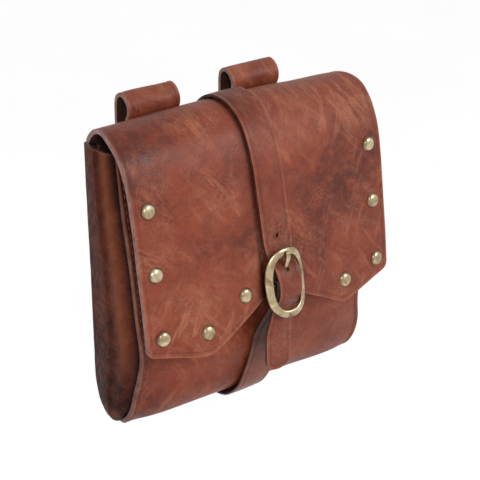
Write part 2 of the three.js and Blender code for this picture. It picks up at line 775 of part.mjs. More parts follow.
// The oval ring, a flat band arched across its width, joined to its bar.
function makeBuckleFrame() {
  const [a, b] = [(buckleWidth - buckleBand) / 2, frameHalf];
  const power = 2 / buckleSquareness;
  const around = 36;
  const sides = 8;
  const index = [];
  const points = [];
  const ovalPoint = (turn) => {
    const [c, s] = [Math.cos(turn), Math.sin(turn)];
    return new THREE.Vector2(
      Math.sign(c) * a * Math.abs(c) ** power,
      Math.sign(s) * b * Math.abs(s) ** power,
    );
  };
  for (let i = 0; i < around; i += 1) {
    const turn = 2 * Math.PI * (i + 0.5) / around;
    const at = ovalPoint(turn);
    const along = ovalPoint(turn + 0.02).sub(ovalPoint(turn - 0.02)).normalize();
    const arch = buckleBow * (0.5 - (at.x / a) ** 2);
    const slope = -2 * buckleBow * at.x / a ** 2;
    for (let j = 0; j < sides; j += 1) {
      const roll = 2 * Math.PI * (j + 0.5) / sides;
      const radial = Math.cos(roll) * buckleBand / 2;
      const lift = Math.sin(roll) * buckleThickness / 2;
      points.push(
        at.x + along.y * radial - slope * lift,
        -(arch + slope * along.y * radial + lift),
        at.y - along.x * radial,
      );
      const next = ((i + 1) % around) * sides;
      const [p, q] = [i * sides + j, i * sides + (j + 1) % sides];
      const [r, s] = [next + j, next + (j + 1) % sides];
      index.push(p, r, q, q, r, s);
    }
  }
  const ring = new THREE.BufferGeometry();
  ring.setAttribute('position', new THREE.Float32BufferAttribute(points, 3));
  ring.setIndex(index);
  const rod = new THREE.CylinderGeometry(barRadius, barRadius, 2 * a, 10);
  rod.rotateZ(Math.PI / 2);
  const geometry = geometryOf(solidOf(ring).add(solidOf(rod)));
  placeByBar(geometry, 0, 0);
  piece('buckle_frame', geometry, 'brass');
}

// The tongue: a short ring on the bar and a tapered pin that rests on the top of the oval.
function makeBuckleTongue() {
  const [hole, rim] = [barRadius + gap / 2, barRadius + gap / 2 + tongueRing];
  const ringShape = new THREE.Shape().absarc(0, 0, rim, 0, Math.PI * 2, false);
  ringShape.holes.push(new THREE.Path().absarc(0, 0, hole, 0, Math.PI * 2, false));
  const collar = new THREE.ExtrudeGeometry(ringShape, {
    depth: tongueWidth,
    bevelEnabled: false,
    curveSegments: 7,
  });
  collar.translate(0, 0, -tongueWidth / 2);
  collar.rotateY(Math.PI / 2);
  const restOut = (buckleBow + buckleThickness) / 2 + gap + tongueRadius;
  const pinPath = new THREE.CatmullRomCurve3([
    new THREE.Vector3(0, 0, (hole + rim) * 0.5),
    new THREE.Vector3(0, -restOut * 0.12, frameHalf * 0.33),
    new THREE.Vector3(0, -restOut * 0.6, frameHalf * 0.63),
    new THREE.Vector3(0, -restOut, frameHalf * 0.92),
    new THREE.Vector3(0, -restOut, frameHalf * 1.05),
  ]);
  const section = new THREE.Shape().absarc(0, 0, tongueRadius, 0, Math.PI * 2, false);
  const pin = new THREE.ExtrudeGeometry(section, {
    steps: 10,
    bevelEnabled: false,
    curveSegments: 4,
    extrudePath: pinPath,
  });
  const geometry = geometryOf(solidOf(collar).add(solidOf(pin)));
  placeByBar(geometry, 0, 0);
  piece('buckle_tongue', geometry, 'brass');
}

// One domed rivet, seated on the flap with its axis along the surface's normal.
function makeRivet(name, x, drop) {
  const length = flapLengthAt(ridgeZ - drop);
  const place = flapPlace(x, length);
  const step = 1;
  const beside = flapPlace(x + step, length);
  const below = flapPlace(x, length + step);
  const alongX = new THREE.Vector3(step, beside.y - place.y, beside.z - place.z);
  const alongDown = new THREE.Vector3(0, below.y - place.y, below.z - place.z);
  const normal = alongDown.cross(alongX).normalize();
  const outline = [new THREE.Vector2(0, 0), new THREE.Vector2(rivetRadius, 0)];
  const domeSteps = 4;
  for (let i = 0; i <= domeSteps; i += 1) {
    const turn = Math.PI / 2 * i / domeSteps;
    const radius = i === domeSteps ? 0 : rivetRadius * Math.cos(turn);
    outline.push(new THREE.Vector2(radius, rivetRim + (rivetRise - rivetRim) * Math.sin(turn)));
  }
  const rivet = piece(name, new THREE.LatheGeometry(outline, 12), 'brass');
  rivet.quaternion.setFromUnitVectors(new THREE.Vector3(0, 1, 0), normal);
  rivet.position.set(x, place.y, place.z).addScaledVector(normal, gap);
}

makeBodyPanel();
makeGusset('gusset_left', -1);
makeGusset('gusset_right', 1);
makeFlap();
makeLoop('belt_loop_left', -loopCentre);
makeLoop('belt_loop_right', loopCentre);
makeUpperStrap();
makeLowerStrap();
makeBuckleFrame();
makeBuckleTongue();
// The right side has no rivet beside the buckle.
for (const [side, word, count] of [[-1, 'left', rivetRows.length], [1, 'right', rivetRows.length - 1]]) {
  rivetRows.slice(0, count).forEach((row, i) => {
    makeRivet(`rivet_${word}_${i + 1}`, side * row.across * halfFlap, row.drop * flapDrop);
  });
}

export default pouch;
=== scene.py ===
import math

import bpy
import numpy as np
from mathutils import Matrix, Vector


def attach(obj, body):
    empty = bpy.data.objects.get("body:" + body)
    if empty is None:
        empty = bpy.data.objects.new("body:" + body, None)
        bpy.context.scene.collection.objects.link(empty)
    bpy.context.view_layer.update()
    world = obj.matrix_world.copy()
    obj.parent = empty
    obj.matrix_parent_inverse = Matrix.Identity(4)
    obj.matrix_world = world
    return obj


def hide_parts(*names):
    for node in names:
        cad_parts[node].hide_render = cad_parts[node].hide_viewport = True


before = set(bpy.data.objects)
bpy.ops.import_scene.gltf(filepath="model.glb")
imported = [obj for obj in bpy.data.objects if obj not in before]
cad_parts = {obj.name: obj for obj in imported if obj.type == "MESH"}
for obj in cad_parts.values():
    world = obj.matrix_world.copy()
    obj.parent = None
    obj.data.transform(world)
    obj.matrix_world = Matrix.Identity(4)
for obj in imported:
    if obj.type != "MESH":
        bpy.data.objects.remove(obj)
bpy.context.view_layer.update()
scene = bpy.context.scene

# ---- sizes in millimetres, as in the CAD source ----
MM = 0.001
GAP, SNUG = 0.3, 0.15
SLOT_HEIGHT, SLOT_DEPTH = 53.0, 5.5
LOOP_WIDTH, LOOP_THICK, LOOP_CENTRE, LOOP_BEND = 32.0, 2.2, 33.5, 1.6
CREST_HEIGHT = 16.0
BODY_WIDTH, BODY_DEPTH, BODY_HEIGHT = 152.0, 43.0, 147.5
BODY_WALL, BODY_CROWN = 2.4, 7.0
GUSSET_WALL, GUSSET_INSET, GUSSET_DROP, FAN_HEIGHT = 1.8, 2.5, 0.5, 24.0
FLAP_WIDTH, FLAP_DEPTH, FLAP_DROP = 164.0, 57.0, 116.0
FLAP_WALL, FLAP_CROWN = 2.4, 4.0
FOLD_RISE, LOOP_RISE, LAP_LENGTH, LAP_SIDE = 12.0, 5.5, 22.0, 2.0
HEM_CORNER, HEM_NOTCH, HEM_LOW_X, HEM_ROUND, FLAP_CORNER = 105.5, 89.5, 46.0, 9.0, 3.0
STRAP_WALL, STRAP_GAP, PLY_WALL, PLY_WIDTH = 1.5, 0.5, 1.1, 14.4
UPPER_WIDTH, LOWER_WIDTH, WAIST, TIP_WIDTH = 18.5, 20.0, 14.8, 16.4
FREE_LENGTH, TIP_ROUND, UPPER_BACK, LOWER_BACK = 47.0, 6.0, 34.0, 60.0
SLACK, TAIL_LENGTH, JOIN_DROP = 2.0, 16.0, 13.0
HOLE_RADIUS, HOLE_SPACING = 1.4, 25.0
BUCKLE_DROP, BUCKLE_WIDTH, BUCKLE_HEIGHT = 89.5, 26.5, 37.0
BAND, BAND_THICK, BOW, SQUARENESS = 4.6, 2.2, 2.4, 2.6
BUCKLE_SHIFT, FREE_SHIFT = 1.4, -3.9
BAR_RADIUS, TONGUE_WIDTH, TONGUE_RADIUS, TONGUE_RING = 1.1, 3.0, 1.0, 1.0
RIVET_RADIUS, RIVET_RISE, RIVET_RIM, RIVET_EDGE = 4.0, 2.0, 0.5, 9.0

BACK_Y = -(SLOT_DEPTH / 2 + LOOP_THICK + GAP)
RIDGE_Z = SLOT_HEIGHT / 2 + LOOP_THICK - LOOP_RISE
TOP_Z = RIDGE_Z - FOLD_RISE
HALF_BODY, HALF_FLAP = BODY_WIDTH / 2, FLAP_WIDTH / 2
INNER_X = HALF_BODY - GUSSET_INSET - GUSSET_WALL

# Columns: depth share, drop share, crown share.
BODY_ROWS = [
    (0.624, 0, 0.25), (0.75, 0.215, 0.5), (0.843, 0.358, 0.75), (0.936, 0.556, 1),
    (1, 0.693, 1), (0.945, 0.768, 1), (0.856, 0.843, 1), (0.752, 0.928, 0.85),
    (0.599, 0.982, 0.6), (0.401, 1, 0.35), (0.203, 0.983, 0.2), (0.076, 0.939, 0.1),
    (0.013, 0.877, 0), (0, 0.802, 0),
]
FLAP_ROWS = [
    (0.057, 0.103, 0), (0.106, 0.056, 0), (0.224, 0.013, 0), (0.39, 0, 0),
    (0.548, 0.026, 0), (0.671, 0.086, 0.05), (0.752, 0.168, 0.1), (0.801, 0.25, 0.17),
    (0.834, 0.34, 0.24), (0.89, 0.534, 0.45), (0.952, 0.75, 0.72), (0.987, 0.897, 0.9),
    (1, 1, 1),
]
# Columns: across the flap's half width, drop share.
RIVET_OUT = 1 - RIVET_EDGE / HALF_FLAP
RIVET_ROWS = [(RIVET_OUT, 0.302), (RIVET_OUT, 0.569), (RIVET_OUT, 0.845), (0.573, 0.884),
              (0.268, 0.782)]
# Columns: across, rise share.
CREST_ROWS = [
    (0, 0), (-0.03, 0.13), (-0.19, 0.28), (-0.36, 0.48), (-0.32, 0.72),
    (0.08, 0.95), (0.5, 1), (0.88, 0.87), (1, 0.6),
]
# Columns: down from the bar as a share of the oval's half height, lift share.
THROUGH_ROWS = [
    (-1, 0), (-0.86, 0), (-0.74, 0.1), (-0.6, 0.4), (-0.44, 0.74), (-0.22, 0.95),
    (0, 1), (0.2, 0.96), (0.4, 0.82), (0.57, 0.5), (0.72, 0.16), (0.86, -0.02),
    (1.2, -0.05),
]

# ---- sizes of the scene alone ----
# Where rows of points lie in from a free edge, and the line pressed beside it.
EDGE_STEPS = np.array([0.0, 0.45, 1.0, 1.6, 2.1, 2.5, 2.9, 3.4, 4.2, 5.4, 7.0])
PRESS_IN, PRESS_WIDE = 2.6, 0.45
EDGE_SEGMENTS, EDGE_ANGLE = 3, 55
# Columns: where it begins, over what length, how far it moves.
SAG = ((-25, 100, 3.0), (15, 65, 5.6))
SPREAD = ((92, 27, 7.6), (40, 40, -2.0))
FALL_ALL, FALL_RIGHT, FALL_LEFT = 0.3, 2.6, 0.5
HASH_PLACE = np.array([374761393, 668265263, 2147483647])
HASH_SEED, HASH_MIX = 974634777, 1274126177


# ---- small helpers ----
def ease(t):
    t = np.clip(t, 0.0, 1.0)
    return t * t * (3 - 2 * t)


def bump(d, width):
    return np.exp(-(d / width) ** 2)


def turns(count):
    """Angles all the way round."""
    return np.arange(count) * 2 * math.pi / count


def unit(v):
    return v / (np.linalg.norm(v, axis=-1, keepdims=True) + 1e-12)


def configured(thing, **settings):
    for key, value in settings.items():
        setattr(thing, key, value)
    return thing


def lattice(place, seed):
    """A fixed random value from -1 to 1 for whole places."""
    n = (place @ HASH_PLACE + seed * HASH_SEED) & 0xFFFFFFFF
    n = ((n ^ (n >> 13)) * HASH_MIX) & 0xFFFFFFFF
    n = (n ^ (n >> 16)) & 0xFFFFFFFF
    return n / 0xFFFFFFFF * 2 - 1


def noise(points, size, seed=0, octaves=1):
    """Smooth noise from -1 to 1 with features of about size millimetres."""
    total, weight, reach = 0.0, 1.0, 0.0
    for k in range(octaves):
        q = points / (size / 2 ** k) + 17.3 * (k + 1)
        base = np.floor(q).astype(np.int64)
        f = ease(q - base)
        value = 0.0
        for corner in np.ndindex(2, 2, 2):
            w = np.prod(np.where(corner, f, 1 - f), axis=-1)
            value = value + w * lattice(base + corner, seed + 31 * k)
        total = total + weight * value
        reach += weight
        weight *= 0.5
    return total / reach


def dents(points, kind, octaves=2):
    """Noise of a kind: height, size of its features, seed."""
    high, size, seed = kind
    return high * noise(points, size, seed, octaves)


def smooth(points, count):
    """A centripetal Catmull-Rom line through points, as count + 1 evenly spaced points."""
    pts = np.asarray(points, float)
    ext = np.vstack([2 * pts[0] - pts[1], pts, 2 * pts[-1] - pts[-2]])
    dense = []
    for i in range(len(pts) - 1):
        p = ext[i:i + 4]
        gaps = np.maximum(np.linalg.norm(np.diff(p, axis=0), axis=1), 1e-6) ** 0.5
        t = np.concatenate([[0], np.cumsum(gaps)])
        s = np.linspace(t[1], t[2], 40, endpoint=False)[:, None]
        for span in (1, 2):
            p = [((t[k + span] - s) * p[k] + (s - t[k]) * p[k + 1]) / (t[k + span] - t[k])
                 for k in range(4 - span)]
        dense.append(((t[2] - s) * p[0] + (s - t[1]) * p[1]) / (t[2] - t[1]))
    line = np.vstack(dense + [pts[-1:]])
    run = lengths_of(line)
    return at_lengths(line, run, np.linspace(0, run[-1], count + 1))


def lengths_of(line, columns=2):
    steps = np.diff(line[:, :columns], axis=0)
    return np.concatenate([[0], np.cumsum(np.linalg.norm(steps, axis=1))])


def at_lengths(line, run, places):
    return np.stack([np.interp(places, run, column) for column in line.T], -1)


def normals_of(line):
    """Outward normals (y, z) of a line down the front, round the bottom and up the back."""
    d = unit(np.gradient(line[:, :2], axis=0))
    return np.stack([d[:, 1], -d[:, 0]], -1)


def offset_line(line, by):
    moved = line.copy()
    moved[:, :2] += normals_of(line) * np.asarray(by).reshape(-1, 1)
    return moved


def across_steps(half, step):
    """Places from -half to half, close together near both edges."""
    left = EDGE_STEPS - half
    count = max(int(round(2 * -left[-1] / step)), 2)
    middle = np.linspace(left[-1], -left[-1], count + 1)
    return np.concatenate([left[:-1], middle, -left[:-1][::-1]])


def along_steps(total, step, last=True):
    """Places from 0 to total, close together near the start and, if free, the last edge."""
    tail = total - (EDGE_STEPS if last else np.zeros(1))[::-1]
    count = max(int(round((tail[0] - EDGE_STEPS[-1]) / step)), 2)
    return np.concatenate([EDGE_STEPS[:-1], np.linspace(EDGE_STEPS[-1], tail[0], count + 1),
                           tail[1:]])


def grid_normals(p):
    return unit(np.cross(np.gradient(p, axis=0), np.gradient(p, axis=1)))


def grid_faces(rows, columns, wrap):
    i = np.arange(rows if wrap else rows - 1)[:, None] * columns
    j = np.arange(columns - 1)[None, :]
    k = (i + columns) % (rows * columns)
    return np.stack([i + j, k + j, k + j + 1, i + j + 1], -1).reshape(-1, 4)


def tube(rings, closed):
    """Points and quads of a row of rings, with caps if it isn't closed."""
    rings = np.asarray(rings)
    count, around = rings.shape[:2]
    a = np.arange(around)
    b = (a + 1) % around
    i = np.arange(count if closed else count - 1)[:, None] * around
    j = (i + around) % (count * around)
    faces = np.stack([i + a, i + b, j + b, j + a], -1).reshape(-1, 4).tolist()
    if not closed:
        faces += [a[::-1], a + (count - 1) * around]
    return rings.reshape(-1, 3), faces


def joined(parts):
    faces, base = [], 0
    for v, f in parts:
        faces += [tuple(base + i for i in face) for face in f]
        base += len(v)
    return np.vstack([v for v, _ in parts]), faces


def mesh_object(name, points, faces, **attributes):
    mesh = bpy.data.meshes.new(name)
    mesh.from_pydata((points * MM).tolist(), [], [list(map(int, f)) for f in faces])
    for key, values in attributes.items():
        layer = mesh.attributes.new(key, "FLOAT", "POINT")
        layer.data.foreach_set("value", np.asarray(values, np.float32).ravel())
    smooth_shade(mesh)
    mesh.validate()
    obj = bpy.data.objects.new(name, mesh)
    scene.collection.objects.link(obj)
    return obj


def apply_modifiers(obj):
    bpy.context.view_layer.update()
    graph = bpy.context.evaluated_depsgraph_get()
    made = bpy.data.meshes.new_from_object(obj.evaluated_get(graph))
    obj.modifiers.clear()
    obj.data = made
    smooth_shade(made)


def smooth_shade(mesh):
    mesh.polygons.foreach_set("use_smooth", [True] * len(mesh.polygons))
    mesh.update()


def settle(p):
    """The pouch has sunk a little at its lower right, as it hangs."""
    def moved(value, rows):
        return sum(by * ease((value - start) / length) for start, length, by in rows)
    p = p.copy()
    right, down = p[..., 0].copy(), -p[..., 2]
    spread = moved(down, SPREAD)
    p[..., 2] -= moved(right, SAG) * ease((down - 55) / 55)
    p[..., 0] += spread * ease((right + 5) / 80) * ease((-p[..., 1] - 7) / 26)
    return p


def slump(p):
    """The flap's fold lies lower towards its right end."""
    p = p.copy()
    right, high = p[..., 0], ease((p[..., 2] + 18) / 34)
    fall = FALL_ALL + FALL_RIGHT * ease((right - 5) / 75) + FALL_LEFT * ease((-right - 40) / 40)
    p[..., 2] -= fall * high
    return p


# ---- materials ----
def srgb(*channels):
    c = np.array(channels) / 255
    return (*np.where(c <= 0.04045, c / 12.92, ((c + 0.055) / 1.055) ** 2.4), 1)


def tinted(colour, by):
    return tuple(a * b for a, b in zip(colour, by)) + (1,)


class Nodes:
    """A short way to write a node tree."""

    def __init__(self, name):
        self.material = bpy.data.materials.new(name)
        self.material.use_nodes = True
        self.tree = self.material.node_tree
        self.coords = self.add("TexCoord", {}, "Object")

    def fill(self, node, sockets):
        for key, value in sockets.items():
            if isinstance(value, bpy.types.NodeSocket):
                self.tree.links.new(value, node.inputs[key])
            elif value is not None:
                node.inputs[key].default_value = value

    def add(self, kind, sockets, output=0, **settings):
        """One output of a new node, from its inputs and settings."""
        node = configured(self.tree.nodes.new("ShaderNode" + kind), **settings)
        self.fill(node, sockets)
        return node.outputs[output]

    def turned(self, rotate, scale=(1, 1, 1)):
        """The coordinates turned, then stretched."""
        turned = self.add("Mapping", {"Vector": self.coords, "Rotation": rotate})
        return self.add("Mapping", {"Vector": turned, "Scale": scale})

    def noise(self, scale, detail=4.0, rough=0.55, distort=0.0, vector=None):
        look = {"Scale": scale, "Detail": detail, "Roughness": rough, "Distortion": distort}
        return self.add("TexNoise", {"Vector": vector or self.coords, **look}, "Fac")

    def voronoi(self, scale, feature, vector):
        return self.add("TexVoronoi", {"Vector": vector, "Scale": scale}, "Distance",
                        feature=feature)

    def warped(self, scale, amount):
        """The coordinates moved about by a noise."""
        by = self.add("TexNoise", {"Vector": self.coords, "Scale": scale, "Detail": 3.0}, "Color")
        return self.add("VectorMath", {0: by, 1: (amount,) * 3, 2: self.coords},
                        operation="MULTIPLY_ADD")

    def attribute(self, name):
        return self.add("Attribute", {}, "Fac", attribute_name=name)

    def ramp(self, value, *stops):
        out = self.add("ValToRGB", {0: value})
        ramp = out.node.color_ramp
        while len(ramp.elements) < len(stops):
            ramp.elements.new(0.5)
        for e, (at, colour) in zip(ramp.elements, stops):
            e.position = at
            e.color = colour if hasattr(colour, "__len__") else (colour, colour, colour, 1)
        return out

    def mix(self, share, a, b):
        return self.add("Mix", {0: share, 6: a, 7: b}, 2, data_type="RGBA")

    def math(self, kind, a, b):
        return self.add("Math", {0: a, 1: b}, operation=kind)

    def bump(self, height, strength, distance, before=None):
        return self.add("Bump", {"Strength": strength, "Distance": distance, "Height": height,
                                 "Normal": before})

    def finish(self, colour, roughness, normal=None, **direct):
        sockets = {"Base Color": colour, "Roughness": roughness, "Normal": normal}
        sockets.update((key.replace("_", " "), value) for key, value in direct.items())
        self.fill(self.tree.nodes["Principled BSDF"], sockets)
        return self.material


# Columns: a noise's scale, detail, roughness and distortion; the ramp's start, stop and share.
CLOUDS = (((42, 6, 0.65, 1.4), 0.45, 0.72, 0.75), ((70, 7, 0.7, 1), 0.5, 0.78, 0.75),
          ((170, 7, 0.75, 0.6), 0.48, 0.72, 0.5), ((130, 7, 0.75, 1.2), 0.5, 0.75, 0.45),
          ((19, 4, 0.6, 0.3), 0.52, 0.75, 0.55))
# Columns: turn in degrees, scale across and along, patch scale, share.
STROKES = ((38, 230, 40, 21, 1), (-31, 190, 36, 26, 0.85), (62, 300, 60, 33, 0.55))
# A warmer brown painted along the gussets' crest as a highlight.
CREST_HIGHLIGHT_BROWN = srgb(132, 70, 43)


def grain_leather(name, colours, lines, wrinkle, gloss):
    dark, middle, light, scuff = (srgb(*c) for c in colours)
    n = Nodes(name)
    # Broad mottling of the waxed leather, with redder, darker and greyer clouds in it.
    broad = n.noise(15, 5, 0.62, 0.5)
    colour = n.ramp(broad, (0.34, dark), (0.5, middle), (0.68, light))
    red = tinted(middle, (1.12, 0.78, 0.6))
    grey = tinted(light, (0.92, 1.12, 1.35))
    for cloud, (look, start, stop, share) in zip((red, dark, light, dark, grey), CLOUDS):
        colour = n.mix(n.ramp(n.noise(*look), (start, 0), (stop, share)), colour, cloud)
    # Lighter strokes where the leather has been bent and rubbed, aslant down the pouch.
    lifted = 0.0
    for turn, across, along, patch, share in STROKES:
        turn = math.radians(turn)
        long = n.turned((0, turn, turn / 3), (across, along, along))
        line = n.ramp(n.noise(1.0, 4, 0.55, 0.25, long), (0.52, 0), (0.59, 0.9), (0.62, 1),
                      (0.7, 0.15))
        near = n.ramp(n.noise(patch, 5, 0.65), (0.45, 0), (0.68, 1))
        line = n.math("MULTIPLY", n.math("MULTIPLY", line, near), share)
        lifted = n.math("MAXIMUM", line, lifted)
    colour = n.mix(n.math("MULTIPLY", lifted, lines), colour, scuff)
    # Short fine crackle in patches.
    net = n.voronoi(330, "DISTANCE_TO_EDGE", n.warped(150, 0.007))
    crease = n.math("MULTIPLY", n.ramp(net, (0, 1), (0.09, 0)),
                    n.ramp(n.noise(38, 4), (0.5, 0), (0.66, 1)))
    colour = n.mix(n.math("MULTIPLY", crease, 0.3), colour, scuff)
    # Pores.
    pores = n.voronoi(780, "F1", n.warped(300, 0.0012))
    colour = n.mix(n.ramp(pores, (0, 0), (0.75, 0.2)), colour, dark)
    # Rubbed edge, and the pressed line just inside it.
    edge = n.math("DIVIDE", n.attribute("edge"), 10.0)
    rubbed = n.ramp(edge, (0, 0.45), (0.06, 0.2), (0.12, 0))
    worn = n.math("MULTIPLY", rubbed, n.ramp(n.noise(140, 4), (0.3, 0.25), (0.65, 1)))
    colour = n.mix(worn, colour, scuff)
    colour = n.mix(n.ramp(edge, (0.2, 0), (0.25, 0.5), (0.31, 0)), colour, dark)
    # A crest rubbed to a warmer brown, and depths where dirt and dye gather.
    # A warmer brown painted along the crest as a highlight, and painted shade in hollows, under
    # parts and beside the strap and buckle.
    colour = n.mix(n.attribute("crest"), colour, CREST_HIGHLIGHT_BROWN)
    colour = n.mix(n.attribute("deep"), colour, tinted(dark, (0.22, 0.2, 0.22)))
    rough = n.ramp(n.noise(40, 5), (0.3, 0.38), (0.7, 0.56))
    rough = n.mix(n.math("MULTIPLY", lifted, 0.6), rough, (0.66, 0.66, 0.66, 1))
    height = n.bump(n.math("SUBTRACT", 1.0, pores), 0.2, 0.0004)
    height = n.bump(n.noise(240, 5, 0.6), 0.22, 0.0006, height)
    height = n.bump(n.math("ADD", crease, lifted), 0.35, 0.0005, height)
    height = n.bump(broad, 0.4, 0.003, height)
    if wrinkle:
        folded = n.turned((math.radians(-38), 0, 0), (60, 230, 45))
        height = n.bump(n.noise(1.0, 4, 0.6, 1.0, folded), wrinkle, 0.0025, height)
    return n.finish(colour, rough, height, Coat_Weight=0.03, Coat_Roughness=0.3,
                    Specular_IOR_Level=gloss)


def make_flesh():
    n = Nodes("flesh_side")
    colour = n.ramp(n.noise(420, 6, 0.7), (0.3, srgb(46, 26, 19)), (0.7, srgb(76, 46, 34)))
    colour = n.mix(n.ramp(n.noise(18, 3), (0.35, 0), (0.7, 0.5)), colour, srgb(40, 22, 16))
    height = n.bump(n.noise(900, 5, 0.7), 0.5, 0.0006)
    return n.finish(colour, 0.92, height, Specular_IOR_Level=0.2)


def make_cut(name, dark, light):
    n = Nodes(name)
    colour = n.ramp(n.noise(260, 5, 0.7), (0.3, dark), (0.7, light))
    colour = n.mix(n.ramp(n.noise(60, 4), (0.45, 0), (0.7, 0.7)), colour, dark)
    height = n.bump(n.noise(900, 4, 0.6), 0.35, 0.0004)
    return n.finish(colour, 0.55, height, Specular_IOR_Level=0.35)


def make_brass():
    n = Nodes("aged_brass")
    tarnish = n.noise(130, 6, 0.65, 0.4)
    colour = n.ramp(tarnish, (0.3, srgb(98, 80, 58)), (0.5, srgb(174, 155, 122)),
                    (0.75, srgb(232, 219, 188)))
    spots = n.ramp(n.noise(420, 4, 0.7), (0.62, 0), (0.72, 0.7))
    colour = n.mix(spots, colour, srgb(74, 58, 40))
    # Painted shade and dark reflections on the band's sides, the bar and the rivets' rims.
    colour = n.mix(n.attribute("deep"), colour, srgb(44, 34, 22))
    rough = n.ramp(tarnish, (0.3, 0.4), (0.7, 0.2))
    return n.finish(colour, rough, n.bump(n.noise(260, 5, 0.6), 0.15, 0.0004), Metallic=1.0)


def make_thread():
    n = Nodes("waxed_thread")
    turned = n.turned((0.5, 0.6, 0.4))
    twist = n.add("TexWave", {"Scale": 420, "Distortion": 1.5, "Vector": turned}, "Fac")
    colour = n.ramp(n.noise(500, 4), (0.3, srgb(70, 34, 22)), (0.7, srgb(116, 68, 48)))
    return n.finish(colour, 0.7, n.bump(twist, 0.5, 0.0002))


# Columns: dark, middle, light and scuff colours; share of the strokes, creases, gloss.
PANEL, FLAP, GUSSET, STRAP, LOOP = (grain_leather(f"{name}_leather", *look) for name, *look in (
    ("panel", ((68, 26, 15), (109, 47, 28), (130, 63, 40), (164, 100, 72)), 0.5, 0, 0.12),
    ("flap", ((70, 27, 16), (114, 50, 30), (134, 66, 44), (168, 108, 80)), 0.62, 0, 0.22),
    ("gusset", ((34, 12, 8), (72, 30, 19), (98, 47, 32), (134, 80, 58)), 0.5, 1.0, 0.04),
    ("strap", ((70, 28, 17), (108, 48, 29), (127, 63, 43), (166, 106, 80)), 0.5, 0, 0.22),
    ("loop", ((82, 36, 23), (126, 63, 42), (148, 82, 59), (178, 114, 88)), 0.55, 0, 0.22)))
FLESH, BRASS, THREAD = make_flesh(), make_brass(), make_thread()
CUT = make_cut("cut_edge", srgb(88, 52, 46), srgb(144, 110, 104))
PANEL_CUT = make_cut("panel_cut_edge", srgb(66, 32, 24), srgb(116, 72, 60))
DARK_CUT = make_cut("dark_cut_edge", srgb(44, 24, 20), srgb(96, 60, 50))


# ---- pieces ----
def stands_for(obj, node):
    """The piece rides on the only body and replaces a CAD node."""
    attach(obj, "root")
    if node:
        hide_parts(node)


def raised(points, detail):
    """A grid of points moved outwards by detail."""
    return points + grid_normals(points) * detail[..., None]


def swept(x, line, normals, out):
    """A grid of points: x across, and a line moved outwards along its normals (y, z)."""
    y = line[:, 0:1] + normals[:, 0:1] * out
    z = line[:, 1:2] + normals[:, 1:2] * out
    return np.stack(np.broadcast_arrays(x, y, z), -1)


def leather_piece(name, node, slot, points, wall, grain, edge, deep, rounding=0.45,
                  wrap=False, mirrored=False, **more):
    """A grid of the outer face, given a wall. Slots: grain, flesh side, cut edge."""
    faces = grid_faces(*points.shape[:2], wrap)[:, ::-1 if mirrored else 1]
    obj = mesh_object(name, points.reshape(-1, 3), faces, edge=edge, deep=deep, **more)
    cut = {PANEL: PANEL_CUT, STRAP: DARK_CUT, GUSSET: DARK_CUT}.get(grain, CUT)
    for material in (grain, FLESH, cut):
        obj.data.materials.append(material)
    configured(obj.modifiers.new("wall", "SOLIDIFY"), thickness=wall * MM, offset=-1,
               use_even_offset=False, material_offset=1, material_offset_rim=2)
    configured(obj.modifiers.new("edge", "BEVEL"), width=rounding * MM, limit_method="ANGLE",
               segments=EDGE_SEGMENTS, angle_limit=math.radians(EDGE_ANGLE))
    apply_modifiers(obj)
    stands_for(obj, node)
    return obj


# ---- stitches ----
STITCH, PITCH, THREAD_RADIUS, THREAD_SINK = 2.8, 3.9, 0.34, 0.08
STITCH_RINGS, STITCH_SIDES, STITCH_DIP = 7, 8, 0.25


def stitch_row(points, normals, sides):
    """Small thread capsules laid along a line of points: vertices and faces."""
    run = lengths_of(points, 3)
    count = int((run[-1] - STITCH) // PITCH)
    first = (run[-1] - count * PITCH + PITCH - STITCH) / 2
    parts = []
    for i in range(count):
        rings = []
        for t in np.linspace(0, 1, STITCH_RINGS):
            s = first + i * PITCH + STITCH * t
            centre, n, d = (at_lengths(rows, run, s) for rows in (points, normals, sides))
            swell = math.sin(math.pi * (0.06 + 0.88 * t)) ** 0.5
            radius = THREAD_RADIUS * swell
            centre = centre + n * (radius * 0.9 - THREAD_SINK - STITCH_DIP * (1 - swell))
            rings.append([centre + radius * (math.cos(a) * d + 0.8 * math.sin(a) * n)
                          for a in turns(STITCH_SIDES)])
        parts.append(tube(rings, False))
    return joined(parts)


def straight_row(start, stop, y, z):
    """Where a level row of stitches lies on the back."""
    x = np.arange(start, stop, 0.5)[:, None]
    return x * (1, 0, 0) + (0, y, z), x * 0 + (0, 1, 0), x * 0 + (0, 0, 1)


def stitches(name, rows):
    obj = mesh_object(name, *joined([stitch_row(*row) for row in rows]))
    obj.data.materials.append(THREAD)
    stands_for(obj, None)


# ---- body ----
SEAM_IN, SEAM_SINK, SEAM_END = 1.9, 0.35, 4.0
CORNER, CORNER_REACH = 3.0, 30.0
COVERED, COVER_BEFORE, COVER_RUN = 2.4, 13.0, 14.0
BODY_BROAD, BODY_FINE, BODY_ROLLS = (0.9, 46, 3), (0.25, 14, 8), (0.5, 9, 21)
ROLLS_Z, PAINTED_SHADOW_X, PAINTED_SHADOW_Z = -112.0, -3.0, -76.0
LAP_SEAM_DROP = 5.0
LAP_SEAMS = ((-67.0, -51.5), (51.5, 67.0))

body_curve = smooth([(BACK_Y - d * BODY_DEPTH, TOP_Z - h * BODY_HEIGHT, c)
                     for d, h, c in BODY_ROWS], 400)
body_back = np.linspace(body_curve[-1], (BACK_Y, TOP_Z, 0.0), 60)[1:]
body_line = np.vstack([body_curve, body_back])
body_run = lengths_of(body_line)
LOWEST_AT = body_run[int(np.argmin(body_line[:, 1]))]


def body_swell(x, crown):
    share = np.clip(np.abs(x) / INNER_X, 0, 1)
    return BODY_CROWN * crown * (1 - share ** 2)


def covered(s):
    """How far the gusset rolls over the panel's edge: not in front, fully behind."""
    return ease((s - LOWEST_AT + COVER_BEFORE) / COVER_RUN)


def body_half(s):
    return HALF_BODY - COVERED * covered(s)


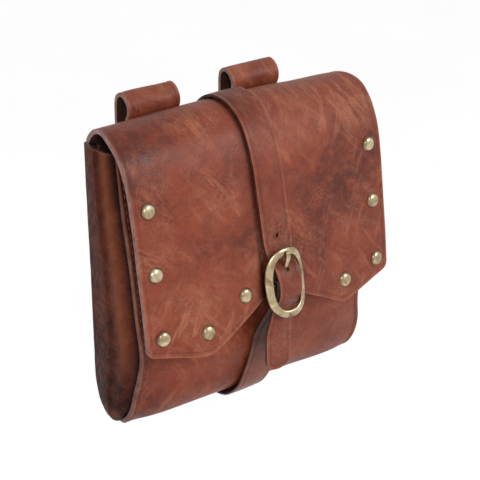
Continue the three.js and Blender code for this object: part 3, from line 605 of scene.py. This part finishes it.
def body_surface(s, share):
    """Points of the body's outer face at running lengths s and shares of its half width."""
    line = at_lengths(body_line, body_run, s)
    x = share[None, :] * body_half(s)[:, None]
    return swept(x, line, normals_of(line), body_swell(x, line[:, 2:3]))


def make_body():
    s = along_steps(body_run[-1], 2.0)
    p = body_surface(s, across_steps(HALF_BODY, 2.2) / HALF_BODY)
    side = body_half(s)[:, None] - np.abs(p[..., 0])
    # The upper corners of both faces are rounded off.
    past = np.clip(1 - side / CORNER, 0, 1)
    cut = CORNER * (1 - np.sqrt(1 - past ** 2))
    for top in (s[0], s[-1]):
        p[..., 2] -= cut * np.clip(1 - np.abs(s - top)[:, None] / CORNER_REACH, 0, 1)
    edge = np.minimum(side, np.minimum(s, body_run[-1] - s)[:, None])
    soft = ease((side - 4) / 10)
    detail = soft * (dents(p, BODY_BROAD) + dents(p, BODY_FINE))
    # The back panel lies flat under the loops and the straps.
    detail = detail * (0.25 + 0.75 * ease((BACK_Y - 0.5 - p[..., 1]) / 6))
    # The seam is drawn down into the panel.
    detail = detail - SEAM_SINK * bump(side - SEAM_IN, 0.8)
    # Soft rolls across the underside, where the leather turns.
    low = bump(p[..., 2] - ROLLS_Z, 16) * soft
    detail = detail + low * dents(p * (0.25, 1, 1), BODY_ROLLS, 1)
    # Painted shade along the sunk seam.
    deep = 0.35 * bump(side - SEAM_IN, 0.7)
    # Painted shadow darkens the front under the buckle, on both sides of the strap.
    beside = np.abs(p[..., 0] - PAINTED_SHADOW_X)
    in_front = p[..., 1] < -30
    deep = deep + 0.6 * bump(beside - 9, 7) * bump(p[..., 2] - PAINTED_SHADOW_Z, 16) * in_front
    leather_piece("pouch_body", "body_panel", "panel_leather", raised(settle(p), detail),
                  BODY_WALL, PANEL, edge, deep)
    rows = []
    places = np.arange(SEAM_END, body_run[-1] - SEAM_END, 1.0)
    for sign in (-1, 1):
        seam = sign * (HALF_BODY - SEAM_IN)
        near = settle(body_surface(places, np.array([seam - 0.5, seam, seam + 0.5]) / HALF_BODY))
        n = grid_normals(near)[:, 1]
        rows.append((near[:, 1] - n * SEAM_SINK, n, n * 0 + (1, 0, 0)))
    # The flap's lap is sewn to the back panel beside the loops.
    rows += [straight_row(start, stop, BACK_Y, TOP_Z - LAP_SEAM_DROP)
             for start, stop in LAP_SEAMS]
    stitches("body_stitching", rows)


# ---- gussets ----
RIM_FRONT_X, RIM_GAP = 75.0, 0.15
CREST_SHARE, CREST_HIGH, CREST_ROOM = 0.24, 3.8, 16.0
ROLL, ROLL_BEHIND, BEHIND_OUT = 1.7, 0.7, 1.0
CREASES_BEHIND, CREASES_IN_FRONT, GUSSET_BROAD = 0.5, 0.12, (0.8, 42, 50)
DRAWN_IN, CREST_HIGHLIGHT_STRENGTH = 1.0, 0.5


def rung_ends(run, top, foot):
    """Points down a rim: level with one another above the foot, by shares of length below."""
    levels = np.concatenate([[top, top - 0.5, top - 1.2, top - 2.2],
                             np.linspace(top - 4, foot, 80)])
    upper = np.stack([np.interp(-levels, -run[:, 1], run[:, 0]), levels], -1)
    lower = np.vstack([upper[-1:], run[run[:, 1] < foot][:, :2]])
    length = lengths_of(lower)
    shares = np.sin(np.linspace(0, math.pi / 2, 70)[1:-1])
    return np.vstack([upper, at_lengths(lower, length, shares * length[-1])])


def make_gusset(name, node, side):
    """A ladder of rungs from the front rim over the crest to the back rim."""
    inset = RIM_GAP + (BODY_WALL + GAP - RIM_GAP) * (1 - covered(body_run))
    rim = offset_line(body_line, -inset)
    low = int(np.argmin(rim[:, 1]))
    top, foot = TOP_Z - GUSSET_DROP, rim[low, 1] + FAN_HEIGHT
    ends = np.stack([rung_ends(rim[:low + 1], top, foot),
                     rung_ends(rim[low:][::-1], top, foot)], 1)
    rise = np.linspace(0, 1, 21) ** 1.5
    share = np.concatenate([rise * CREST_SHARE, 1 - rise[::-1][1:] * (1 - CREST_SHARE)])[None]
    # From either rim (0) to the crest (1).
    t = np.concatenate([rise, rise[::-1][1:]])
    yz = ends[:, 0][:, None] + (ends[:, 1] - ends[:, 0])[:, None] * share[..., None]
    width = np.linalg.norm(ends[:, 1] - ends[:, 0], axis=1)[:, None]
    rear = share > CREST_SHARE
    reach = width * np.where(rear, 1 - CREST_SHARE, CREST_SHARE)
    y, z = yz[..., 0], yz[..., 1]
    flat = np.stack([np.zeros_like(y), y, z], -1)
    out = CREST_HIGH * (1 - np.exp(-(width / CREST_ROOM) ** 2)) * (1 - (1 - t) ** 1.6)
    # It rolls over its rim, which lies in the groove in front and round the back edge behind.
    behind = covered(np.interp(-z, -body_line[:low, 1], body_run[:low])) * np.ones_like(out)
    behind = np.where(share > 0.5, 1.0, behind)
    roll = ROLL + ROLL_BEHIND * behind
    near = np.clip(roll - t * reach, 0, roll)
    out = out + BEHIND_OUT * behind - (roll - np.sqrt(np.maximum(roll ** 2 - near ** 2, 0)))
    # Slack leather in the back half, with creases aslant.
    slant = flat @ np.array([[1, 0, 0], [0, 0.8, -0.6], [0, 0.6, 0.8]])
    ripple = noise(slant * (1, 1, 0.28), 5.0, 40 + side, 2)
    soft = np.sin(t * math.pi / 2) ** 0.5 * ease(width / 14)
    high, size, seed = GUSSET_BROAD
    out = (out + soft * np.where(rear, CREASES_BEHIND, CREASES_IN_FRONT) * ripple
           + high * soft * noise(flat, size, seed + side))
    # It draws in at the top, where the fold of the flap presses on it.
    out = out - DRAWN_IN * bump(z - top, 22) * t
    points = settle(np.stack([side * (RIM_FRONT_X + out), y, z], -1))
    # A painted highlight of warmer brown along the crest.
    crest = CREST_HIGHLIGHT_STRENGTH * bump(share - CREST_SHARE, 0.13) * ease((z - foot) / 24)
    # Painted shade beside the front rim, under the flap's edge, and towards the back rim.
    deep = np.where(rear, 0.0, bump(t * reach, 2.2)) * (1 - behind) * 0.85
    deep = np.clip(deep + 0.5 * ease((share - 0.72) / 0.28), 0, 0.85)
    edge = np.where(np.arange(len(y))[:, None] < 4, top - z, 9.0)
    leather_piece(name, node, "gusset_leather", points, GUSSET_WALL, GUSSET, edge, deep, 0.4,
                  mirrored=side < 0, crest=crest)


# ---- flap ----
LAP_Y, LAP_TOP = BACK_Y - BODY_WALL - GAP, TOP_Z - 4.0
OVER_BODY, HEM_DIP, HEM_DIP_X, HEM_DIP_WIDE = 0.8, 1.6, 17.0, 11.0
FRONT_SHARE, FRONT_ROWS = 0.25, 46
FLAP_BROAD, FLAP_FINE, HEM_WAVE = (0.7, 40, 5), (0.2, 11, 9), (1.0, 34, 12)
RIVET_DENT, STRAP_DENT = 0.35, 0.4
FAR = 50.0

flap_curve = smooth([(LAP_Y, LAP_TOP, 0.0)]
                    + [(BACK_Y - d * FLAP_DEPTH, RIDGE_Z - h * FLAP_DROP, c)
                       for d, h, c in FLAP_ROWS], 600)
lap = np.linspace((LAP_Y, LAP_TOP - LAP_LENGTH, 0.0), flap_curve[0], 30)[:-1]
flap_line = np.vstack([lap, flap_curve])
flap_run = lengths_of(flap_line)
ridge_at = flap_run[int(np.argmax(flap_line[:, 1]))]
flap_columns = np.hstack([flap_line, normals_of(flap_line)]).T


def flap_length_at(z):
    past = flap_run >= ridge_at
    return np.interp(-np.asarray(z, float), -flap_line[past, 1], flap_run[past])


def flap_place(x, s):
    """Point and outward normal (y, z) of the flap's outer face, before it slumps."""
    y, z, c, ny, nz = (np.interp(s, flap_run, column) for column in flap_columns)
    swell = FLAP_CROWN * c * (1 - (x / HALF_FLAP) ** 2)
    return np.stack(np.broadcast_arrays(x + 0 * y, y + ny * swell, z + nz * swell), -1), ny, nz


def hem_z(x):
    out = np.abs(x)
    inner = (FLAP_DROP - HEM_NOTCH) / HEM_LOW_X
    outer = (FLAP_DROP - HEM_CORNER) / (HALF_FLAP - HEM_LOW_X)
    inside = FLAP_DROP - (HEM_LOW_X - out) * inner
    outside = FLAP_DROP - (out - HEM_LOW_X) * outer
    spread = HEM_ROUND * (inner + outer) / 4
    drop = (inside + outside - np.sqrt((inside - outside) ** 2 + 4 * spread ** 2)) / 2
    drop = drop + HEM_DIP * bump(x - HEM_DIP_X, HEM_DIP_WIDE)
    past = np.maximum(out - (HALF_FLAP - FLAP_CORNER), 0)
    corner = FLAP_CORNER - np.sqrt(np.maximum(FLAP_CORNER ** 2 - past ** 2, 0))
    return RIDGE_Z - np.minimum(drop, FLAP_DROP) + corner


def flap_half(s):
    """Narrow between the gussets, as wide as the body over their tops, widest in front."""
    lap_half, top_half = INNER_X - LAP_SIDE, HALF_BODY + OVER_BODY
    above = ease((s - LAP_LENGTH - 4.0) / 2.5)
    ahead = ease((s - LAP_LENGTH - 10) / (ridge_at + 14 - LAP_LENGTH - 10))
    return lap_half + (top_half - lap_half) * above + (HALF_FLAP - top_half) * ahead


rivet_places = [(side * a * HALF_FLAP, d * FLAP_DROP, f"rivet_{word}_{i + 1}")
                for side, word, count in ((-1, "left", 5), (1, "right", 4))
                for i, (a, d) in enumerate(RIVET_ROWS[:count])]
bar_length = float(flap_length_at(RIDGE_Z - BUCKLE_DROP))


def make_flap():
    front_at = float(flap_length_at(RIDGE_Z - FLAP_DROP * FRONT_SHARE))
    shares = across_steps(HALF_FLAP, 1.9) / HALF_FLAP
    x_full = shares * HALF_FLAP
    hem_s = flap_length_at(hem_z(x_full))
    tail_steps = EDGE_STEPS[::-1]
    end = hem_s - tail_steps[0]
    rows = [(np.full_like(shares, s), shares * flap_half(s))
            for s in along_steps(front_at, 1.8, False)]
    rows += [(front_at + (end - front_at) * k / FRONT_ROWS, x_full)
             for k in range(1, FRONT_ROWS + 1)]
    rows += [(hem_s - d, x_full) for d in tail_steps[1:]]
    s, x = np.array(rows).swapaxes(0, 1)
    p = flap_place(x, s)[0]
    side = np.minimum(flap_half(s) - np.abs(x), FAR)
    end = np.minimum(hem_s[None, :] - s, FAR)
    edge = np.maximum(np.minimum(np.minimum(side, end), s), 0)
    detail = dents(p, FLAP_BROAD) * ease(side / 12)
    detail = detail + dents(p, FLAP_FINE) * ease((edge - 3) / 8)
    # The lap is hidden, so its edges aren't pressed.
    detail = detail - 0.28 * bump(edge - PRESS_IN, PRESS_WIDE) * (s > ridge_at - 10)
    # The hem waves a little, and the leather is pressed in under each rivet and the strap.
    detail = detail + dents(p * (1, 0.2, 0.2), HEM_WAVE, 1) * ease((s - hem_s + 45) / 45)
    for rivet_x, drop, _ in rivet_places:
        centre = flap_place(np.array(rivet_x), flap_length_at(RIDGE_Z - drop))[0]
        away = np.linalg.norm(p - centre, axis=-1)
        detail = detail * (1 - bump(away, 6)) - RIVET_DENT * bump(away, 7.5)
    under = bump(x, 11) * (s > ridge_at - 25)
    detail = detail * (1 - under) - STRAP_DENT * bump(x, 9.5) * (s > ridge_at)
    # Painted shade along the strap's sides and by the buckle.
    deep = np.where(x < 0, 0.8, 0.25) * bump(np.abs(x) - 9.8, 1.7) * (s > ridge_at - 20)
    deep = deep + 0.5 * bump(x + 12, 4) * bump(s - bar_length - 4, 15)
    # Painted shade darkens the fold towards its right end.
    deep = deep + 0.15 * bump(s - ridge_at - 4, 16) * ease((x + 10) / 50)
    leather_piece("pouch_flap", "flap", "flap_leather", raised(slump(p), detail), FLAP_WALL,
                  FLAP, edge, deep)


# ---- belt loops ----
LOOP_DENTS, LOOP_SEAM_UP = (0.3, 18, 14), 4.5


def loop_line():
    """The loop's middle line: crest, rear strip, foot and front strip."""
    strip = (SLOT_DEPTH + LOOP_THICK) / 2
    end = (SLOT_HEIGHT + LOOP_THICK) / 2
    bend = LOOP_BEND + LOOP_THICK / 2
    crest = smooth([(strip * (2 * a - 1), end - CREST_HEIGHT * (1 - r)) for a, r in CREST_ROWS],
                   60)

    def arc(centre, start):
        turn = start - np.linspace(0, math.pi / 2, 9)
        return np.stack([centre + bend * np.cos(turn), bend - end + bend * np.sin(turn)], -1)

    rear = np.linspace(crest[-1], (strip, bend - end), 26)[1:-1]
    front = np.linspace((-strip, bend - end), crest[0], 26)[1:-1]
    return np.vstack([crest, rear, arc(strip - bend, 0.0), arc(bend - strip, -math.pi / 2),
                      front])


def make_loop(name, node, centre):
    """The loop, and where its row of stitches lies."""
    line = loop_line()[::-1]
    normals = normals_of(np.vstack([line[-1:], line, line[:1]]))[1:-1]
    across = across_steps(LOOP_WIDTH / 2, 2.0)
    p = swept(centre + across, line, normals, LOOP_THICK / 2)
    edge = np.broadcast_to(LOOP_WIDTH / 2 - np.abs(across), p.shape[:2])
    detail = dents(p, LOOP_DENTS) * ease(edge / 4) - 0.22 * bump(edge - PRESS_IN, PRESS_WIDE)
    # The front strip stays flat against the back panel.
    free = ease((p[..., 2] - 6) / 10) + (p[..., 1] > 0)
    detail = np.where(free > 0, detail * np.clip(free, 0, 1), 0) - 0.05
    p = swept(centre + across, line, normals, LOOP_THICK / 2 + detail)
    seam_z = LOOP_SEAM_UP - SLOT_HEIGHT / 2
    # Painted shade along the line of stitches.
    deep = 0.3 * bump(p[..., 2] - seam_z, 0.8) * (p[..., 1] > 0)
    leather_piece(name, node, "loop_leather", p, LOOP_THICK, LOOP, edge, deep, wrap=True)
    return straight_row(centre - LOOP_WIDTH / 2 + 3, centre + LOOP_WIDTH / 2 - 2.5,
                        SLOT_DEPTH / 2 + LOOP_THICK, seam_z)


# ---- buckle's place, and the straps ----
FRAME_HALF = (BUCKLE_HEIGHT - BAND) / 2


def middle_place(s):
    p, ny, nz = flap_place(np.array(0.0), np.array(float(s)))
    return p[1:], np.array([float(ny), float(nz)])


seat, _ = middle_place(bar_length)
above_seat, _ = middle_place(bar_length - FRAME_HALF)
DOWN = unit(seat - above_seat)
OUT = np.array([DOWN[1], -DOWN[0]])
STAND = BAND_THICK / 2 + STRAP_WALL + STRAP_GAP + 3 * GAP
BAR = seat + OUT * STAND


def from_bar(outward, downward):
    return BAR + OUT * outward + DOWN * downward


ON_FLAP = STRAP_GAP + STRAP_WALL / 2
FOLD_RADIUS = BAR_RADIUS + SNUG + PLY_WALL / 2
PLY_SPACING = (PLY_WALL + STRAP_WALL) / 2 + SNUG
OVER_BAR = FOLD_RADIUS + PLY_SPACING
BEHIND_RING = ON_FLAP - STAND
STRAP_DENTS, STRAP_PROUD = (0.12, 12, 60), 0.25
TONGUE_HOLE_UP, TONGUE_SLOT, CUTTER_LENGTH = 11.6, 2.0, 9.0
LOWER_SHIFT = -2.0


def strap_shift(below):
    towards = ease(1 + below / (BUCKLE_DROP - FRAME_HALF))
    away = ease((below - FRAME_HALF * 0.4) / FRAME_HALF)
    return BUCKLE_SHIFT * towards + (FREE_SHIFT - BUCKLE_SHIFT) * away


def on_flap(places):
    """The strap's middle line where it lies on the flap."""
    return np.array([q + n * ON_FLAP for q, n in map(middle_place, places)])


def upper_strap_line():
    y = BACK_Y + ON_FLAP
    over = on_flap(np.linspace(ridge_at, bar_length - FRAME_HALF - BAND / 2, 23))
    # It lies on the fold as the fold has slumped.
    over = slump(np.column_stack([np.zeros(len(over)), over]))[:, 1:]
    slope = on_flap(np.linspace(LAP_LENGTH + 8, ridge_at, 8)[:-1])
    through = [from_bar(BEHIND_RING + (OVER_BAR - BEHIND_RING) * lift, FRAME_HALF * below)
               for below, lift in THROUGH_ROWS]
    tip_z = BAR[1] - FREE_LENGTH
    last = through[-1]
    knots = [(y, TOP_Z - UPPER_BACK), (y, TOP_Z - 12), (y, TOP_Z - 2), (y - 0.5, TOP_Z + 1.4)]
    knots += list(slope) + list(over) + through
    knots += [(last[0] + 0.2, (last[1] + tip_z) / 2), (last[0] - 0.4, tip_z)]
    return smooth(knots, 700)


def strap_sheet(name, node, line, wall, width_at, shift_at, shade_at, holes=(), move=None):
    """A strap along a middle line. Its grain side is the outer one."""
    run = lengths_of(line)
    s = along_steps(run[-1], 0.9)
    mid = at_lengths(line, run, s)
    n = normals_of(mid)
    shares = across_steps(9.0, 1.3)[None, :] / 9.0
    half = width_at(s)[:, None] / 2
    x = shift_at(s)[:, None] + shares * half
    # The middle stands a little prouder than the edges.
    out = wall / 2 + STRAP_PROUD * (1 - shares ** 2)
    edge = np.minimum((1 - np.abs(shares)) * half, np.minimum(s, run[-1] - s)[:, None])
    detail = (dents(swept(x, mid, n, out), STRAP_DENTS) * ease(edge / 3)
              - 0.2 * bump(edge - 2.3, 0.4))
    p = swept(x, mid, n, out + detail)
    deep = shade_at(s)[:, None] * np.ones_like(x)
    # Painted shade in and round each hole.
    for hole_s, hole_x, reach in holes:
        away = np.hypot(s[:, None] - hole_s, x - hole_x)
        deep = np.maximum(deep, 0.8 * bump(away, reach))
    return leather_piece(name, node, "strap_leather", p if move is None else move(p), wall,
                         STRAP, edge, deep, 0.4)


def oval_cutter(name, centre, axis, wide, tall):
    """A closed cylinder with an oval section."""
    across = np.array([1.0, 0.0, 0.0])
    turn = turns(20)[:, None]
    ring = wide * np.cos(turn) * across + tall * np.sin(turn) * np.cross(axis, across)
    return mesh_object(name, *tube([centre + axis * CUTTER_LENGTH * end / 2 + ring
                                    for end in (-1, 1)], False))


def cut_holes(obj, cutters):
    for cutter in cutters:
        configured(obj.modifiers.new("hole", "BOOLEAN"), operation="DIFFERENCE", solver="EXACT",
                   object=cutter)
    apply_modifiers(obj)
    for cutter in cutters:
        bpy.data.objects.remove(cutter)


def make_upper_strap():
    line = upper_strap_line()
    run = lengths_of(line)
    bar_at = run[int(np.argmin(line[:, 0]))]
    tip_at = run[-1] - TIP_ROUND

    def width_at(s):
        narrow = ease((s - bar_at + FRAME_HALF * 1.7) / (FRAME_HALF * 0.8))
        wide = ease((s - bar_at - FRAME_HALF * 0.7) / FRAME_HALF)
        w = UPPER_WIDTH + (WAIST - UPPER_WIDTH) * narrow + (TIP_WIDTH - WAIST) * wide
        past = np.maximum(s - tip_at, 0)
        return w - 2 * (TIP_ROUND - np.sqrt(np.maximum(TIP_ROUND ** 2 - past ** 2, 0)))

    # One punched hole, and the one that the tongue is through.
    punched = bar_at - FRAME_HALF * 0.3 - HOLE_SPACING
    pinned = bar_at - TONGUE_HOLE_UP
    holes = [(punched, float(strap_shift(punched - bar_at)), 1.9), (pinned, BUCKLE_SHIFT, 1.8)]
    # The free end past the buckle gets a little painted shade.
    obj = strap_sheet("strap_from_flap", "strap_upper", line, STRAP_WALL, width_at,
                      lambda s: strap_shift(s - bar_at),
                      lambda s: 0.14 * ease((s - bar_at - 10) / 8), holes)
    cutters = []
    for i, (at, tall) in enumerate(((punched, HOLE_RADIUS), (pinned, TONGUE_SLOT))):
        q = at_lengths(line, run, np.array([at, at + 1.0]))[:, :2]
        d = unit(q[1] - q[0])
        centre = np.array([float(strap_shift(at - bar_at)), *q[0]])
        cutters.append(oval_cutter(f"cutter_{i}", centre, np.array([0, d[1], -d[0]]),
                                   HOLE_RADIUS, tall))
    cut_holes(obj, cutters)
    return line


def make_lower_strap(upper):
    """Up the front, round the bar and down behind itself. Begins at the folded end."""
    middle = offset_line(body_line, body_swell(np.array(0.0), body_line[:, 2]))
    slack = np.minimum(body_line[:, 2] * 1.2, 0.75)
    standing = offset_line(middle, GAP + PLY_WALL / 2 + SLACK * slack)
    standing_run = lengths_of(standing)
    first = int(np.argmax(standing[:, 1] < BAR[1] - FRAME_HALF - JOIN_DROP))
    back_rise = body_curve[-1][1] - (TOP_Z - BODY_HEIGHT)
    end = standing_run[-1] - (BODY_HEIGHT - LOWER_BACK - back_rise)
    rounds = at_lengths(standing, standing_run,
                        np.linspace(standing_run[first], end, 27))[:, :2]
    bar_index = int(np.argmin(upper[:, 0]))
    behind = offset_line(upper[bar_index:, :2].copy(), -PLY_SPACING - 0.05)
    behind = behind[behind[:, 1] > BAR[1] - FRAME_HALF * 0.8][::6]
    front = smooth([from_bar(FOLD_RADIUS, 0)] + list(behind[1:]) + [rounds[0], rounds[1]], 220)
    front_run = lengths_of(front)
    fold = np.array([from_bar(-FOLD_RADIUS * math.cos(a), -FOLD_RADIUS * math.sin(a))
                     for a in np.linspace(0, math.pi, 40)])
    closing = ease(front_run / (TAIL_LENGTH * 0.6))
    tail = offset_line(front, -(2 * FOLD_RADIUS + (PLY_WALL + GAP - 2 * FOLD_RADIUS) * closing))
    tail = tail[(front_run > 1.5) & (front_run <= TAIL_LENGTH)][::-1]
    line = smooth(np.vstack([tail[::6], fold[::5], front[2:-18:8], rounds[1:]]), 900)
    bar_at = lengths_of(tail)[-1] + FOLD_RADIUS * math.pi

    def width_at(s):
        share = ease((s - bar_at + FRAME_HALF * 0.1) / (FRAME_HALF * 2.8))
        return PLY_WIDTH + (LOWER_WIDTH - PLY_WIDTH) * share

    def shift_at(s):
        leave = ease((s - bar_at) / (FRAME_HALF * 2.3))
        return BUCKLE_SHIFT + (LOWER_SHIFT - BUCKLE_SHIFT) * leave

    # Painted shadow over the strap, strongest from the fold to below the buckle, where the ring
    # and free end shade it.
    strap_sheet("strap_from_body", "strap_lower", line, PLY_WALL, width_at, shift_at,
                lambda s: 0.2 + 0.55 * (1 - ease((s - bar_at - 26) / 34)), move=settle)
    return line


def end_stitches(line, width, wall, shift, last):
    """A U of stitches round the sewn end of a strap on the back panel."""
    run = lengths_of(line)
    into, depth, step = 2.3, 22.0, 0.5
    half = width / 2 - into
    up = [k * step for k in range(int((depth - into) / step))]
    places = [(-half, depth - k) for k in up]
    places += [(-half + k * step, into) for k in range(int(2 * half / step))]
    places += [(half, into + k) for k in up]
    x, s = np.array(places).T
    x = x + shift
    s = run[-1] - s if last else s
    n = at_lengths(normals_of(line), run, s)
    points = np.column_stack([x, at_lengths(line, run, s)[:, :2] + n * (wall / 2 + 0.12)])
    if last:
        points = settle(points)
    normals = np.column_stack([np.zeros(len(x)), n])
    return points, normals, unit(np.cross(normals, np.gradient(points, axis=0)))


# ---- buckle ----
RING_THICK, RING_BAND, RING_POINTS, RING_SIDES = 1.8, 4.0, 168, 24
ARCH_LEVEL, ARCH_SLOPE, SECTION_POWER = 0.95, 2.9, 0.9
BAR_END, BAR_SWELL = 1.4, 0.1


def brass_piece(name, node, points, faces, deep):
    obj = mesh_object(name, points, faces, deep=deep)
    obj.data.materials.append(BRASS)
    stands_for(obj, node)


def from_buckle(local):
    """From buckle coordinates (across, outward, upward) to the part's."""
    across, outward, upward = local.T[:, :, None]
    return np.hstack([across + BUCKLE_SHIFT, from_bar(outward, -upward)])


def flattened(value, power):
    return np.sign(value) * np.abs(value) ** power


def oval(turn):
    a, b, power = (BUCKLE_WIDTH - BAND) / 2, FRAME_HALF, 2 / SQUARENESS
    c, s = np.cos(turn), np.sin(turn)
    return np.stack([a * flattened(c, power), b * flattened(s, power)], -1)


def make_buckle():
    a = (BUCKLE_WIDTH - BAND) / 2
    rings = []
    for turn in turns(RING_POINTS):
        at = oval(turn)
        along = unit(oval(turn + 0.01) - oval(turn - 0.01))
        arch = BOW * (ARCH_LEVEL - (at[0] / a) ** 2)
        slope = -ARCH_SLOPE * BOW * at[0] / a ** 2
        ring = []
        for roll in turns(RING_SIDES):
            radial = flattened(math.cos(roll), SECTION_POWER) * RING_BAND / 2
            lift = flattened(math.sin(roll), SECTION_POWER) * RING_THICK / 2
            ring.append((at[0] + along[1] * radial - slope * lift,
                         arch + slope * along[1] * radial + lift,
                         at[1] - along[0] * radial))
        rings.append(ring[::-1])
    # Painted shade and dark reflections on the sides of the band and behind it; its face is left
    # bright.
    shade = 0.85 * ease((0.75 - np.sin(turns(RING_SIDES)[::-1])) / 0.75)
    # The bar, swollen where it joins the ring on both sides.
    bar_rings = []
    for x in np.linspace(-a - BAR_END, a + BAR_END, 40):
        join = ease((abs(x) - a + 3.0) / 3.0)
        cap = math.sqrt(max(1 - max((abs(x) - a) / (BAR_END + 0.05), 0) ** 2, 0.02))
        r = (BAR_RADIUS + BAR_SWELL * join) * cap
        sink = -0.3 * BOW * join
        bar_rings.append([(x, sink + r * math.cos(t), r * math.sin(t)) for t in turns(20)])
    bar = tube(bar_rings, False)
    v, f = joined([tube(rings, True), bar])
    # The bar gets painted shade.
    deep = np.concatenate([np.tile(shade, RING_POINTS), np.full(len(bar[0]), 0.8)])
    brass_piece("buckle_ring", "buckle_frame", from_buckle(v), f, deep)


def make_tongue():
    hole, half = BAR_RADIUS + GAP / 2, TONGUE_WIDTH / 2
    rim = hole + TONGUE_RING
    # Columns: radius, across.
    quarter = [(rim, half - 0.4), (rim - 0.4, half), (hole + 0.2, half), (hole, half - 0.2)]
    profile = [(r, -x) for r, x in quarter[::-1]] + quarter
    eye = tube([[(x, r * math.cos(t), r * math.sin(t)) for r, x in profile] for t in turns(36)],
               True)
    rest = ARCH_LEVEL * BOW + RING_THICK / 2 + GAP * 0.3 + TONGUE_RADIUS * 0.9
    path = smooth([(0.0, (hole + rim) * 0.5), (rest * 0.05, FRAME_HALF * 0.33),
                   (rest * 0.45, FRAME_HALF * 0.57), (rest * 0.92, FRAME_HALF * 0.8),
                   (rest, FRAME_HALF * 0.92), (rest - 0.1, FRAME_HALF * 1.03)], 48)
    rings = []
    for t, (o, u), (do, du) in zip(np.linspace(0, 1, 49), path,
                                  unit(np.gradient(path, axis=0))):
        cap = math.sqrt(max(1 - max((t - 0.955) / 0.046, 0) ** 2, 0.03))
        wide = (half + 0.1 - 0.2 * t) * cap
        thick = TONGUE_RADIUS * (1.0 - 0.12 * t) * cap
        rings.append([(wide * math.cos(q), o + thick * math.sin(q) * du,
                       u - thick * math.sin(q) * do) for q in turns(16)])
    v, f = joined([eye, tube(rings, False)])
    brass_piece("buckle_pin", "buckle_tongue", from_buckle(v), f, np.zeros(len(v)))


# ---- rivets ----
RIVET_SIDES, RIVET_TILT, RIVET_SEED = 40, 0.03, 100
# Columns: in from the head's radius, height over the flap.
RIVET_FOOT = ((0.5, -0.5), (0.0, -0.1), (0.0, RIVET_RIM * 0.5), (0.18, RIVET_RIM * 0.9))


def make_rivet(name, x, drop, number):
    s = float(flap_length_at(RIDGE_Z - drop))

    def slumped(across, along):
        return slump(flap_place(np.array(float(across)), np.array(float(along)))[0])

    at = slumped(x, s)
    du, dv = slumped(x + 1, s) - at, slumped(x, s + 1) - at
    n = unit(np.cross(dv, du))
    e1 = unit(du - n * (du @ n))
    e2 = np.cross(n, e1)
    profile = [(RIVET_RADIUS - inset, height) for inset, height in RIVET_FOOT]
    dome, rise = RIVET_RADIUS - 0.3, RIVET_RISE - 0.1 - RIVET_RIM
    profile += [(dome * math.cos(a), RIVET_RIM + rise * math.sin(a))
                for a in np.linspace(0.08, 1, 12) * math.pi / 2]
    profile[-1] = (0.02, profile[-1][1])
    tilt = np.random.default_rng(RIVET_SEED + number).normal(0, RIVET_TILT, 2)
    rings = [[at + n * (h - 0.15) + (e1 * math.cos(t) + e2 * math.sin(t)) * r
              + n * r * (tilt[0] * math.cos(t) + tilt[1] * math.sin(t))
              for t in turns(RIVET_SIDES)] for r, h in profile]
    # Painted shade round the rivet's foot and rim.
    deep = np.repeat([0.55 if h < RIVET_RIM else 0.4 * (r > 3.2) for r, h in profile],
                     RIVET_SIDES)
    brass_piece(name + "_head", name, *tube(rings, False), deep)


make_body()
make_gusset("side_left", "gusset_left", -1)
make_gusset("side_right", "gusset_right", 1)
make_flap()
stitches("loop_stitching", [make_loop("hanger_left", "belt_loop_left", -LOOP_CENTRE),
                            make_loop("hanger_right", "belt_loop_right", LOOP_CENTRE)])
upper_line = make_upper_strap()
lower_line = make_lower_strap(upper_line)
stitches("strap_stitching",
         [end_stitches(upper_line[:80], UPPER_WIDTH, STRAP_WALL, 0.0, False),
          end_stitches(lower_line[-80:], LOWER_WIDTH, PLY_WALL, LOWER_SHIFT, True)])
make_buckle()
make_tongue()
for number, (rivet_x, drop, name) in enumerate(rivet_places):
    make_rivet(name, rivet_x, drop, number)

# ---- floor, light and camera ----
FLOOR_Z, FLOOR_HALF, FLOOR_SHADE = -420.0, 25000.0, 0.93
CENTRE = (0.0, -0.033, -0.054)


def floor_paper():
    n = Nodes("floor_paper")
    dull, clear = ((c, c, c, 1) for c in (FLOOR_SHADE * 0.985, FLOOR_SHADE))
    return n.finish(n.ramp(n.noise(3, 2), (0.3, dull), (0.7, clear)), 0.9)


def aim(obj, place, target):
    obj.location = place
    obj.rotation_euler = (Vector(target) - Vector(place)).to_track_quat("-Z", "Y").to_euler()
    scene.collection.objects.link(obj)


def lamp(name, kind, place, power):
    light = bpy.data.lights.new(name, kind)
    light.energy = power
    aim(bpy.data.objects.new(name, light), place, CENTRE)
    return light


corners = [(x * FLOOR_HALF, y * FLOOR_HALF, FLOOR_Z)
           for x, y in ((-1, -1), (1, -1), (1, 1), (-1, 1))]
floor = mesh_object("floor", np.array(corners), [(0, 1, 2, 3)])
floor.data.materials.append(floor_paper())

world = bpy.data.worlds.new("studio")
world.use_nodes = True
sky = world.node_tree.nodes["Background"].inputs
sky["Color"].default_value = (1.0, 1.0, 1.0, 1)
sky["Strength"].default_value = 0.86
scene.world = world
scene.view_settings.view_transform = "Standard"

lamp("key", "SUN", (0.65, -1.2, 0.65), 1.27).angle = math.radians(14)
lamp("front", "AREA", (-0.75, -1.0, 0.6), 6.2).size = 0.25

camera_data = configured(bpy.data.cameras.new("camera"), lens=102, sensor_width=36,
                         clip_start=0.02)
camera = bpy.data.objects.new("camera", camera_data)
aim(camera, (-0.42386, -0.52094, 0.22636), (0.0, -0.033, -0.053))
scene.camera = camera
